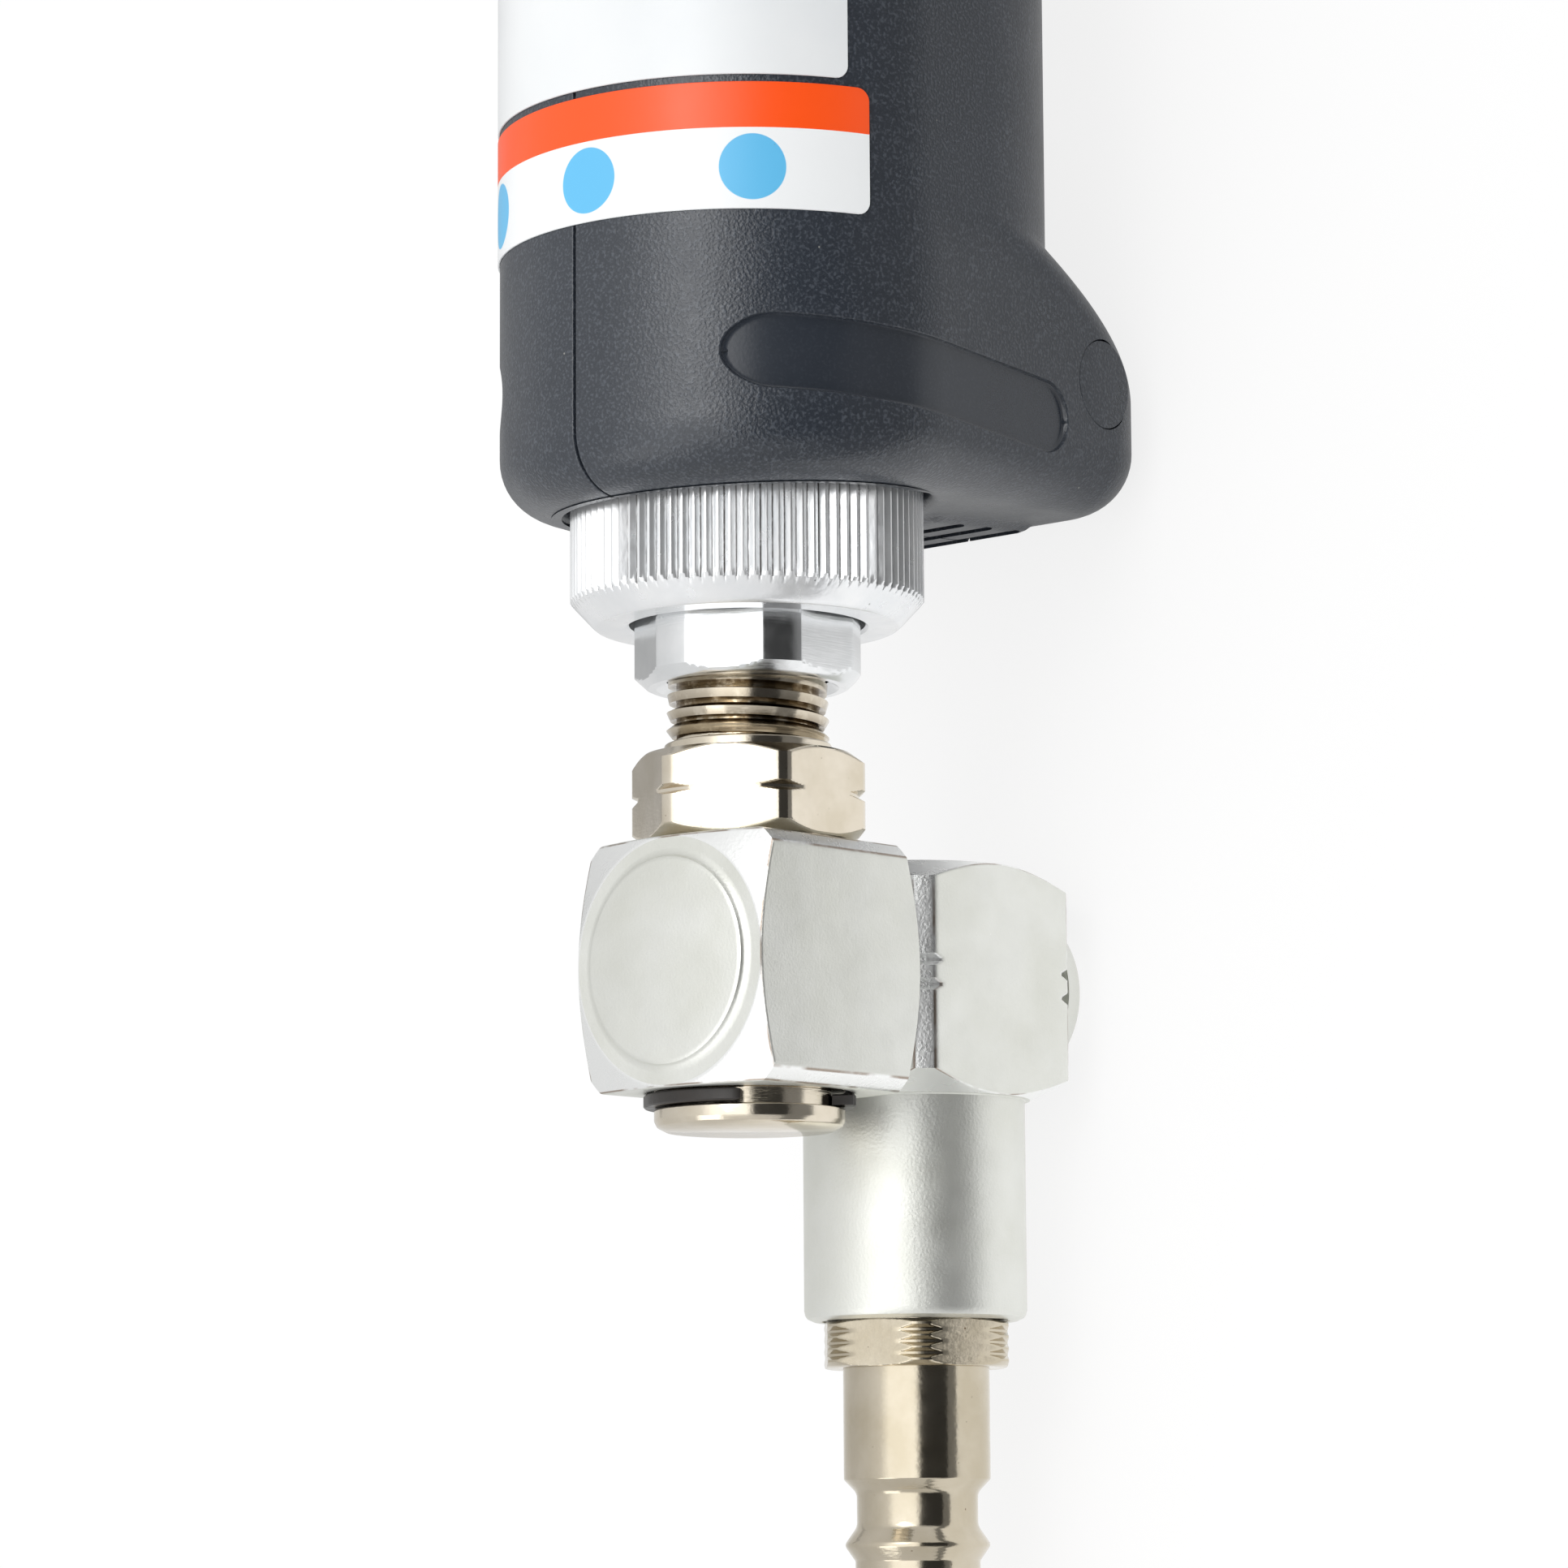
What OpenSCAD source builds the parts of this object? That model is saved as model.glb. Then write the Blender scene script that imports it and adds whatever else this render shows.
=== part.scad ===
// In-line air saw with a two-axis swivel inlet.
// The tool axis is X, the blade end is +X and the labelled side is +Z.
// Axial positions count from the centre of the swivel blocks.
// The saw rests on its heel and on the lower edge of its shoe.

/* [Grip housing] */
// Radius of the grip's upper half
grip_r = 20; // [18:0.5:22]
// Radius of the grip's lower half
grip_low_r = 18.5; // [17.5:0.5:20]
// Depth of the grip's underside below the tool axis
grip_depth = 26; // [24.5:0.5:27]
// Length of the housing along the tool axis
grip_len = 135; // [130:1:145]
// Wall around the motor
wall = 3.5; // [3:0.1:4]
// Rounding of the rear edge
rear_edge_r = 5; // [3:0.5:5]
// Rounding of the front edge
front_edge_r = 1.5; // [1:0.5:3]
// Slant of the rear face, forward for each millimetre down
rear_slant = 0.065; // [0:0.005:0.1]
// Gap at the parting line between the two halves
parting_gap = 0.2; // [0.1:0.05:0.4]

/* [Heel] */
// Depth of the heel's rest below the tool axis
heel_depth = 33.3; // [33:0.1:36]
// Half width of the heel
heel_half_w = 17.5; // [16:0.5:19]
// Rounding of the heel's lower corners
heel_corner_r = 8; // [6:0.5:9]
// Length of the ramp from the grip up to the heel's peak
heel_ramp = 12.4; // [11:0.1:16]
// Distance from the rear face to the heel's peak
heel_back = 9.7; // [9:0.1:12]
// Width of one exhaust slot
louvre_w = 1.6; // [1:0.1:2]
// Spacing of the exhaust slots
louvre_pitch = 3.6; // [3.2:0.1:4]
// Length of one exhaust slot
louvre_len = 12; // [8:0.5:14]
// Number of exhaust slots
louvre_count = 3; // [1:1:3]

/* [Side panel] */
// Height of the sunk side panel along the tool axis
panel_h = 6; // [4:0.5:7]
// Depth of the sunk side panel
panel_depth = 0.5; // [0.3:0.1:0.8]
// Height of the panel's upper end above the tool axis
panel_top = 16; // [10:0.5:17]
// Depth of the panel's lower end below the tool axis
panel_low = 19; // [12:0.5:21]

/* [Labels] */
// Thickness of a label
label_t = 0.15; // [0.1:0.05:0.3]
// Width of the banded label along the tool axis
band_label_len = 10.2; // [8:0.1:12]
// Width of the label's coloured band
band_len = 3.1; // [2:0.1:5]
// Width of the type label along the tool axis
type_len = 25; // [15:1:40]
// Half the angle that a label wraps
label_half_angle = 66; // [40:1:70]
// Turn of the labels from the parting line
label_turn = 4.5; // [0:0.5:10]

/* [Inlet] */
// Outside diameter of the pipe thread
thread_d = 13.157; // [13.157:0.1:14]
// Pitch of the pipe thread
thread_pitch = 1.337; // [1:0.01:1.5]
// Depth of the pipe thread
thread_depth = 0.856; // [0.6:0.01:1]
// Length of thread that stays in sight
thread_show = 3.5; // [2:0.1:6]
// Length of thread inside the bushing
thread_in = 10; // [8:0.5:11]
// Width across flats of the bushing's hexagon
bushing_af = 17.2; // [16.5:0.1:18]
// Length of the bushing's hexagon in sight
bushing_hex_len = 6; // [4:0.5:8]
// Radius of the bushing's shank
shank_r = 8; // [7.6:0.1:8.4]
// Radius of the air passage
passage_r = 4; // [3:0.1:4.5]

/* [Regulator collar] */
// Outside diameter over the knurl
collar_d = 28.7; // [27:0.1:29.5]
// Length of the collar
collar_len = 14.3; // [12:0.1:14.5]
// Length of the collar in sight
collar_show = 9.6; // [8:0.1:11]
// Number of knurl teeth
knurl_count = 85; // [60:1:100]
// Depth of the knurl
knurl_depth = 0.45; // [0.3:0.05:0.6]
// Chamfer at the collar's rear edge
collar_chamfer = 1.3; // [0.5:0.1:1.8]

/* [Swivel] */
// Width across flats of the swivel blocks
block_w = 20; // [19:0.1:20.8]
// Half length of the swivel block along the cross axis
block_half = 9.45; // [9.2:0.05:10]
// Diameter over the cut corners of the swivel block
swivel_corner_d = 26.6; // [25:0.1:28]
// Width across flats of the elbow block
elbow_w = 19.5; // [18.5:0.1:20.4]
// Gap between the two blocks
block_gap = 0.8; // [0.3:0.05:1]
// Diameter over the cut corners of the elbow block
elbow_corner_d = 25.6; // [24:0.1:28]
// Diameter of the elbow's tube
tube_d = 18.3; // [17:0.1:19]
// Length from the cross axis to the end of the tube
tube_len = 27.5; // [24:0.5:32]
// Diameter of both stems
stem_d = 15.3; // [14.8:0.1:15.6]
// Diameter in the clip groove
clip_groove_d = 13; // [12.4:0.1:13.4]
// Outside diameter of the clips
clip_d = 17; // [16.4:0.1:17.4]
// Thickness of the clips
clip_t = 1; // [0.8:0.1:1.2]
// Thickness of the stems' end discs
disc_t = 1.7; // [1.2:0.1:1.7]
// Width across flats of the nut on the stem
nut_af = 17; // [16:0.1:17.4]
// Length of the nut
nut_len = 7.05; // [6:0.05:8]
// Length of the plain ring between nut and thread
neck_len = 1; // [0.6:0.1:1.5]

/* [Plug] */
// Length of the plug beyond the tube
plug_len = 36.8; // [33:0.1:40]
// Width across flats of the plug's hexagon
plug_af = 14.8; // [14:0.1:16]
// Length of the plug's hexagon
plug_hex_len = 3.8; // [3:0.1:5]
// Diameter of the plug's body
plug_d = 12; // [11.6:0.1:12.4]
// Diameter of the plug's tip
plug_tip_d = 10; // [9.6:0.1:10.4]
// Diameter of the plug's bore
plug_bore_d = 7.4; // [6:0.1:7.8]

/* [Throttle] */
// Width of the throttle lever
lever_w = 14; // [10:0.5:15]
// Length of the lever ahead of its pin
lever_len = 84; // [70:1:88]
// Thickness of the lever
lever_t = 3; // [2.5:0.1:3.2]
// Angle of the lever's travel
lever_angle = 5; // [3:0.5:5.5]
// Distance from the lever's pin to the throttle stem
lever_arm = 16; // [14:0.5:20]
// Radius of the lever's pin
lever_pin_r = 1.5; // [1:0.1:1.8]
// Radius of the throttle stem
throttle_r = 2; // [1.6:0.1:2.4]

/* [Motor] */
// Radius of the piston
piston_r = 9; // [8:0.1:9.5]
// Length of the piston
piston_len = 18; // [16:0.5:22]
// Stroke of the piston
stroke = 10; // [6:0.5:12]
// Radius of the ram
ram_r = 5; // [4.5:0.1:5.5]
// Outside radius of the cylinder
cylinder_r = 12.6; // [12:0.1:13]
// Thickness of each buffer
buffer_t = 4; // [2:0.5:5]

/* [Nose and chuck] */
// Length of the nose ahead of the grip
nose_len = 30; // [28:1:34]
// Radius of the nose at its front
nose_tip_r = 13; // [12:0.5:15]
// Radius of the chuck
chuck_r = 8; // [7.5:0.1:8.5]
// Length of the chuck
chuck_len = 22; // [20:0.5:26]
// Length of the chuck ahead of the nose at rest
chuck_show = 10; // [8:0.5:14]

/* [Blade] */
// Length of the blade
blade_len = 90; // [70:1:110]
// Height of the blade
blade_h = 13; // [10:0.5:13]
// Thickness of the blade
blade_t = 0.7; // [0.5:0.05:0.9]
// Tooth pitch of the blade
tooth_pitch = 1.4; // [1:0.1:2.5]
// Depth of the blade's teeth
tooth_depth = 0.8; // [0.5:0.05:1]

/* [Shoe] */
// Length of the shoe arm
arm_len = 50; // [46:1:54]
// Width of the shoe arm
arm_w = 16; // [14:0.5:18]
// Thickness of the shoe's sheet steel
shoe_t = 2.5; // [2:0.1:3]
// Width of the shoe plate
shoe_w = 34; // [28:1:38]
// Height of the shoe plate above the tool axis
shoe_top = 13; // [10:0.5:16]
// Width of the blade slot in the shoe plate
shoe_slot_w = 3; // [2:0.1:4]
// Travel of the shoe each way from rest
shoe_travel = 4; // [2:0.5:5]
// Radius of the shoe's screws
screw_r = 2; // [1.5:0.1:2.2]

/* [Hidden] */

// Clearances between pieces
run_fit = 0.05;
seat_fit = 0.05;
face_gap = 0.15;
side_gap = 0.4;
cut = 1;

// Swivel places
cross_drop = block_half + block_gap + elbow_w / 2;
nut_start = block_w / 2 + face_gap;
neck_start = nut_start + nut_len;
thread_start = neck_start + neck_len;
nut_mid = nut_start + nut_len / 2;
nut_corner_r = nut_af / 2 + 1.1;
bushing_start = thread_start + thread_show;
bushing_corner_r = bushing_af / 2 + 0.55;
collar_start = bushing_start + bushing_hex_len;
rear_face = collar_start + collar_show;
front_face = rear_face + grip_len;
stem_r = stem_d / 2;
thread_r = thread_d / 2;
thread_root_r = thread_r - thread_depth;
stem_bore_r = passage_r * 0.8;
port_r = 2.5;
disc_gap = 1.3;
ring_groove_depth = 1.1;
ring_w = 1.5;
ring_places = [-6.5, 6.5];
cross_ring_places = [cross_drop - 7, cross_drop + 7];
chamber_w = 7;
chamber_depth = 1.3;
stem_end = -(block_w / 2 + disc_gap + disc_t);
clip_mid = block_w / 2 + disc_gap / 2;
clip_gap_angle = 84;
clip_turn = 79.5;
plug_shank_r = 6.5;
plug_shank_len = 12;
seal_t = 1.2;
cross_face = cross_drop + elbow_w / 2;
cross_end = cross_face + disc_gap + disc_t;
cap_disc_r = 8.3;
cap_disc_rise = 0.6;

// Bushing and collar places
hex_hidden = 2.7;
collar_bore_r = shank_r + run_fit;
collar_r = collar_d / 2;
collar_end = collar_start + collar_len;
recess_r = collar_r + side_gap;
recess_end = collar_end + 0.6;
bulkhead = 2.4;
motor_start = recess_end + bulkhead;
shank_end = motor_start + 13;
screen_t = 1;

// Motor places
cavity_r = grip_r - wall;
valve_len = 50;
valve_end = motor_start + valve_len;
cap_t = 4;
cylinder_start = valve_end + cap_t;
guide_len = 14;
head_wall = 7.3;
guide_end = front_face - head_wall;
cylinder_end = guide_end - guide_len;
piston_start = cylinder_start + buffer_t + 1;
piston_end = piston_start + piston_len;
front_buffer_start = piston_end + stroke + 1;
front_buffer_end = front_buffer_start + buffer_t;
bore_r = piston_r + run_fit;
nose_end = front_face + nose_len;
chuck_start = nose_end + chuck_show - chuck_len;
chuck_end = chuck_start + chuck_len;
chuck_bore_r = chuck_r + 0.6;
ring_t = 0.8;

// Blade places
blade_in = 15;
blade_start = chuck_end - blade_in;
blade_end = blade_start + blade_len;

// Lever places
lever_pin_at = [rear_face + 31, 22.8];
throttle_at = lever_pin_at[0] + lever_arm;
slot_floor = cavity_r + 3.7;
slot_half_w = lever_w / 2 + side_gap;
slot_start = lever_pin_at[0] - 5;
slot_end = lever_pin_at[0] + lever_len + 4;
throttle_bore_r = 5.5;
throttle_seat = 4;
throttle_top = 9;
throttle_head_r = 4;
throttle_head_t = 2;
lever_top = lever_pin_at[1] - lever_t / 2;
lever_pin_half = 9.5;
throttle_tip = lever_top + lever_arm * tan(lever_angle) - 0.35;
spring_wire = 0.8;
spring_r = 3.2;
spring_turns = 5;

// Shoe places
pad_depth = 19;
arm_start = front_face + shoe_travel + 0.8;
arm_end = arm_start + arm_len;
arm_low = pad_depth + run_fit + shoe_t;
arm_slot_r = screw_r + 0.25;
arm_slot_len = 2 * (arm_slot_r + shoe_travel);
shoe_screw_first = arm_start + 2.5 + arm_slot_len / 2;
shoe_screw_at = [shoe_screw_first, shoe_screw_first + arm_slot_len + 3];
shoe_pad_end = shoe_screw_at[1] + 5;
screw_in = 7.5;
washer_t = 0.8;
screw_head_t = 2.4;
screw_head_r = 3.5;
flange_h = 13;
shoe_front = arm_end + shoe_t;
rivet_r = 1.8;
rivet_half = 5;
rivet_drop = arm_low - flange_h / 2 - 1;

// Screw places
housing_screw_at = [rear_face + 22, front_face - 64, front_face - 30, front_face - 10];
housing_screw_depth = cavity_r + 1.85;
bolt_r = 1.25;
bolt_half = 11;
bolt_head_r = 2.2;
bolt_head_t = 2;
bolt_socket = 1.2;
head_screw_at = front_face - 4;
head_screw_angle = 60;
head_screw_r = 1.5;
head_screw_head_r = 2.6;
head_screw_sink = 1.6;
ram_in = 7;
ram_end = chuck_start + ram_in;
piston_ring_at = [piston_start + 3, piston_end - 4.5];
piston_ring_w = 1.4;
chuck_screw_at = chuck_end - 4;
chuck_screw_z = [-3.6, 3.6];
chuck_screw_r = 1.75;

// Heel places
heel_peak = rear_face + heel_back;
heel_front = heel_peak + heel_ramp;
heel_ease = 2.05;
slant_end = heel_front;
slant_run = 18;
heel_hollow_w = 22;
heel_hollow_len = heel_ramp - 4;
louvre_first = heel_depth - 6.3 - louvre_pitch * (louvre_count - 1);
panel_mid = heel_peak - 1.3;
panel_lean = 0.046;
plug_circle_r = 3.7;
plug_circle_at = [heel_peak + 2, 24.5];
plug_circle_t = 2.5;

// Label places
band_start = rear_face + 20.2;
band_end = band_start + band_label_len;
type_start = band_end + 0.6;
label_seat = 0.03;

// The whole part, from the plug's tip to the blade's tip
part_back = -(tube_len + plug_len);
middle = (part_back + blade_end) / 2;

// Colours
slate = [0.29, 0.31, 0.345];
bright = [0.86, 0.87, 0.88];
satin = [0.84, 0.84, 0.82];
nickel = [0.74, 0.70, 0.64];
steel = [0.62, 0.63, 0.65];
black = [0.12, 0.12, 0.12];
rubber = [0.10, 0.10, 0.11];
brass = [0.80, 0.66, 0.36];

function mix(a, b, t) = a + (b - a) * t;
function limit(t) = min(1, max(0, t));

// Share of the heel's section at an axial place, none on the grip and all at the peak
function heel_share(a) = 1 - pow(1 - limit((heel_front - a) / heel_ramp), heel_ease);

// Half width, depth and lower corner radius of the section at an axial place
function section(a) = let (s = heel_share(a)) [
    mix(grip_r, heel_half_w, s),
    mix(grip_depth, heel_depth, s),
    mix(grip_low_r, heel_corner_r, s)
];

// Angle from the top at which the upper arc passes to the flat side
function side_angle(w, c) =
    let (x = w[0] - w[2], z = w[1] - w[2], d = sqrt(x * x + z * z))
    180 - atan2(x, z) - acos((c - w[2]) / d);

arc_top = 10;
arc_low = 8;

// Points of half a section from the top down, sunk inwards by an inset
function half_ring(a, inset) =
    let (w = section(a), t = side_angle(w, grip_r), r = grip_r - inset, q = w[2] - inset)
    concat(
        [for (i = [0:arc_top]) let (p = t * i / arc_top) [r * sin(p), r * cos(p)]],
        [for (i = [0:arc_low]) let (p = t + (180 - t) * i / arc_low)
            [w[0] - w[2] + q * sin(p), -(w[1] - w[2]) + q * cos(p)]]
    );

// One closed ring of the housing in space
function ring(place, shape, inset) =
    let (h = half_ring(shape, inset), n = len(h), lean = rear_slant * limit((slant_end - place) / slant_run))
    concat(
        [for (i = [0:n - 1]) [place - lean * h[i][1], -h[i][0], h[i][1]]],
        [for (i = [n - 1:-1:1]) [place - lean * h[i][1], h[i][0], h[i][1]]]
    );

function ring_faces(count, n) = concat(
    [[for (i = [0:n - 1]) i]],
    [for (k = [0:count - 2], i = [0:n - 1]) let (j = (i + 1) % n)
        [k * n + i, (k + 1) * n + i, k * n + j]],
    [for (k = [0:count - 2], i = [0:n - 1]) let (j = (i + 1) % n)
        [k * n + j, (k + 1) * n + i, (k + 1) * n + j]],
    [[for (i = [n - 1:-1:0]) (count - 1) * n + i]]
);

// Stations of the housing from rear to front: place, place of the section, inset
function stations(sink) = concat(
    [for (t = [90:-22.5:0]) let (q = rear_edge_r - sink) [
        rear_face + rear_edge_r - q * sin(t),
        rear_face + rear_edge_r,
        rear_edge_r - q * cos(t)
    ]],
    [for (a = [heel_peak - 2, heel_peak]) [a, a, sink]],
    [for (i = [1:8]) let (a = heel_peak + heel_ramp * i / 8) [a, a, sink]],
    [for (t = [0, 45, 90]) let (q = front_edge_r - sink) [
        front_face - front_edge_r + q * sin(t),
        front_face,
        front_edge_r - q * cos(t)
    ]]
);

// The housing's outer form as one solid, sunk inwards by an inset
module housing_form(sink = 0) {
    rings = [for (k = stations(sink)) ring(k[0], k[1], k[2])];
    polyhedron([for (r = rings) each r], ring_faces(len(rings), len(rings[0])));
}

// A turned solid about the tool axis from points of radius and axial place
module turned(points, fine = 96) {
    rotate([0, 90, 0]) rotate_extrude($fn = fine) polygon(points);
}

// A cylinder about the tool axis
module bar(r, start, end, fine = 64) {
    translate([start, 0, 0]) rotate([0, 90, 0]) cylinder(r = r, h = end - start, $fn = fine);
}

// A tube about the tool axis
module sleeve(outer, inner, start, end, fine = 64) {
    difference() {
        bar(outer, start, end, fine);
        bar(inner, start - cut, end + cut, fine);
    }
}

// Children turned so that their Z axis points down, along the cross axis
module down() {
    rotate([180, 0, 0]) children();
}

// A hexagonal bar about the tool axis with its corners cut to a radius
module hex_bar(af, corner_r, start, end) {
    intersection() {
        bar(af / sqrt(3), start, end, 6);
        bar(corner_r, start, end, 96);
    }
}

// An O-ring about the Z axis
module o_ring(outer, inner, mid) {
    w = (outer - inner) / 2;
    translate([0, 0, mid]) rotate_extrude($fn = 64)
        translate([inner + w, 0]) circle(r = w, $fn = 24);
}

// The part's own frame, with its origin under the middle on the rest plane
module place() {
    translate([-middle, 0, heel_depth]) children();
}

// Everything on the elbow's own axis
module on_elbow_axis() {
    translate([0, 0, -cross_drop]) children();
}

// Space for the throttle lever under the grip
module lever_slot() {
    translate([slot_start, -slot_half_w, -heel_depth - cut])
        cube([slot_end - slot_start, 2 * slot_half_w, heel_depth + cut - slot_floor]);
}

// Sunk side panel with round ends, cut from one side
module side_panel() {
    half = panel_h / 2;
    difference() {
        rotate([90, 0, 0]) linear_extrude(heel_half_w + grip_r)
            hull() {
                for (z = [panel_top - half, half - panel_low])
                    translate([panel_mid + panel_lean * z, z]) circle(r = half, $fn = 32);
            }
        housing_form(panel_depth);
    }
}

// Width of the heel's flat side at a depth below the tool axis
function side_y(a, depth) =
    let (w = section(a), t = side_angle(w, grip_r),
         y0 = grip_r * sin(t), z0 = grip_r * cos(t),
         y1 = w[0] - w[2] + w[2] * sin(t), z1 = -(w[1] - w[2]) + w[2] * cos(t))
    mix(y0, y1, (-depth - z0) / (z1 - z0));

// A round peg square to the heel's right side, from its surface inwards
module side_peg(r, deep, proud) {
    lean = side_angle(section(plug_circle_at[0]), grip_r);
    translate([plug_circle_at[0], -side_y(plug_circle_at[0], plug_circle_at[1]), -plug_circle_at[1]])
        rotate([lean, 0, 0]) translate([0, 0, -deep])
            cylinder(r = r, h = deep + proud, $fn = 48);
}

// A peg across the tool at a place, from one half width to the other
module across(a, depth, r, from, to, fine = 32) {
    translate([a, from, -depth]) rotate([-90, 0, 0]) cylinder(r = r, h = to - from, $fn = fine);
}

// A peg square to the tool axis at an angle from the top towards the right side
module radial(a, angle, r, from, to, fine = 32) {
    translate([a, 0, 0]) rotate([angle, 0, 0]) translate([0, 0, from])
        cylinder(r = r, h = to - from, $fn = fine);
}

module housing_solid() {
    difference() {
        housing_form();
        bar(recess_r, rear_face - 10, recess_end);
        bar(shank_r + side_gap, rear_face, motor_start + cut);
        bar(cavity_r, motor_start, front_face + cut);
        translate([motor_start, -heel_hollow_w / 2, -heel_depth + wall])
            cube([heel_hollow_len, heel_hollow_w, heel_depth - wall - cavity_r + 6]);
        lever_slot();
        translate([throttle_at, 0, -heel_depth])
            cylinder(r = throttle_r + side_gap, h = heel_depth, $fn = 32);
        across(lever_pin_at[0], lever_pin_at[1], lever_pin_r + 0.02, -lever_pin_half, lever_pin_half);
        for (i = [0:louvre_count - 1])
            translate([rear_face - cut, -louvre_len / 2,
                    -louvre_first - i * louvre_pitch - louvre_w / 2])
                cube([motor_start - rear_face + 2 * cut, louvre_len, louvre_w]);
        for (a = housing_screw_at) {
            across(a, housing_screw_depth, bolt_r + 0.05, -bolt_half - 0.5, bolt_half + cut);
            across(a, housing_screw_depth, bolt_head_r + 0.2, bolt_half, 2 * grip_r);
        }
        for (side = [-1, 1])
            radial(head_screw_at, side * head_screw_angle, head_screw_r + 0.1, cavity_r - cut, grip_r + cut);
        for (side = [-1, 1])
            radial(head_screw_at, side * head_screw_angle, head_screw_head_r + 0.1,
                grip_r - head_screw_sink, grip_r + cut);
        side_panel();
        mirror([0, 1, 0]) side_panel();
        side_peg(plug_circle_r + seat_fit, plug_circle_t, cut);
        mirror([0, 1, 0]) side_peg(plug_circle_r + seat_fit, plug_circle_t, cut);
    }
}

module housing_half(side) {
    big = 2 * heel_depth;
    intersection() {
        housing_solid();
        translate([rear_face - 10, side > 0 ? parting_gap / 2 : -parting_gap / 2 - big, -big])
            cube([grip_len + 20, big, 2 * big]);
    }
}

module housing_left() {
    color(slate) place() housing_half(1);
}

module housing_right() {
    color(slate) place() housing_half(-1);
}

// A label wrapped over the top of the grip
module label_band(start, end) {
    reach = 3 * grip_r;
    intersection() {
        sleeve(grip_r + label_seat + label_t, grip_r + label_seat, start, end, 96);
        rotate([label_turn, 0, 0]) rotate([0, -90, 0]) mirror([0, 0, 1])
            translate([0, 0, start - cut]) linear_extrude(end - start + 2 * cut)
                polygon([[0, 0], for (k = [-1, -0.5, 0, 0.5, 1])
                    [reach * cos(k * label_half_angle), reach * sin(k * label_half_angle)]]);
    }
}

module type_label() {
    color("white") place() label_band(type_start, type_start + type_len);
}

module band_label() {
    color("orangered") place() label_band(band_end - band_len, band_end);
    color("white") place() label_band(band_start, band_end - band_len);
}

module screw_plugs() {
    color(slate) place() {
        side_peg(plug_circle_r, plug_circle_t - 0.1, -0.05);
        mirror([0, 1, 0]) side_peg(plug_circle_r, plug_circle_t - 0.1, -0.05);
    }
}

module housing_screws() {
    color(steel) place() for (a = housing_screw_at) difference() {
        union() {
            across(a, housing_screw_depth, bolt_r, -bolt_half, bolt_half);
            across(a, housing_screw_depth, bolt_head_r, bolt_half, bolt_half + bolt_head_t);
        }
        across(a, housing_screw_depth, bolt_head_r * 0.55,
            bolt_half + bolt_head_t - bolt_socket, bolt_half + bolt_head_t + cut, 6);
    }
}

// Collar: straight teeth round a turned envelope
module regulator_collar() {
    teeth = [for (i = [0:2 * knurl_count - 1])
        let (t = 180 * i / knurl_count, r = collar_r - (i % 2) * knurl_depth)
        [r * cos(t), r * sin(t)]];
    color(bright) place() difference() {
        intersection() {
            translate([collar_start, 0, 0]) rotate([0, 90, 0])
                linear_extrude(collar_len) polygon(teeth);
            turned([
                [0, collar_start], [collar_r - 1.6 * collar_chamfer, collar_start],
                [collar_r + 0.8, collar_start + 1.5 * collar_chamfer],
                [collar_r + 0.8, collar_end - 1.4], [collar_r - 0.6, collar_end], [0, collar_end]
            ]);
        }
        bar(bushing_corner_r + side_gap, collar_start - cut, collar_start + hex_hidden + 0.3);
        bar(collar_bore_r, collar_start, collar_end + cut);
    }
}

module inlet_bushing() {
    hex_end = collar_start + hex_hidden;
    socket_end = bushing_start + thread_in + 0.5;
    color(bright) place() difference() {
        union() {
            intersection() {
                hex_bar(bushing_af, bushing_corner_r, bushing_start, hex_end);
                turned([
                    [0, bushing_start], [bushing_corner_r - 1.1, bushing_start],
                    [bushing_corner_r, bushing_start + 1], [bushing_corner_r, hex_end], [0, hex_end]
                ]);
            }
            bar(shank_r, hex_end - cut, shank_end);
        }
        bar(thread_r + seat_fit, bushing_start - cut, socket_end);
        turned([
            [0, bushing_start - cut], [thread_r + 1.2, bushing_start - cut],
            [thread_r - 0.4, bushing_start + 0.6], [0, bushing_start + 0.6]
        ]);
        bar(passage_r + 1, socket_end - cut, shank_end + cut);
        sleeve(shank_r + cut, shank_r - ring_groove_depth, shank_end - 5, shank_end - 5 + ring_w);
    }
}

module inlet_screen() {
    at = bushing_start + thread_in + 3;
    color(brass) place() difference() {
        bar(passage_r + 0.95, at, at + screen_t);
        for (k = [0:5]) radial_hole(at, 60 * k, 2.6, 0.9);
        bar(0.9, at - cut, at + screen_t + cut, 24);
    }
}

// A hole along the tool axis at a radius and an angle
module radial_hole(at, angle, away, r) {
    rotate([angle, 0, 0]) translate([at - cut, 0, away]) rotate([0, 90, 0])
        cylinder(r = r, h = screen_t + 2 * cut, $fn = 24);
}

module bushing_o_ring() {
    color(rubber) place() rotate([0, 90, 0])
        o_ring(shank_r + 0.03, shank_r - ring_groove_depth + 0.03, shank_end - 5 + ring_w / 2);
}

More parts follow.
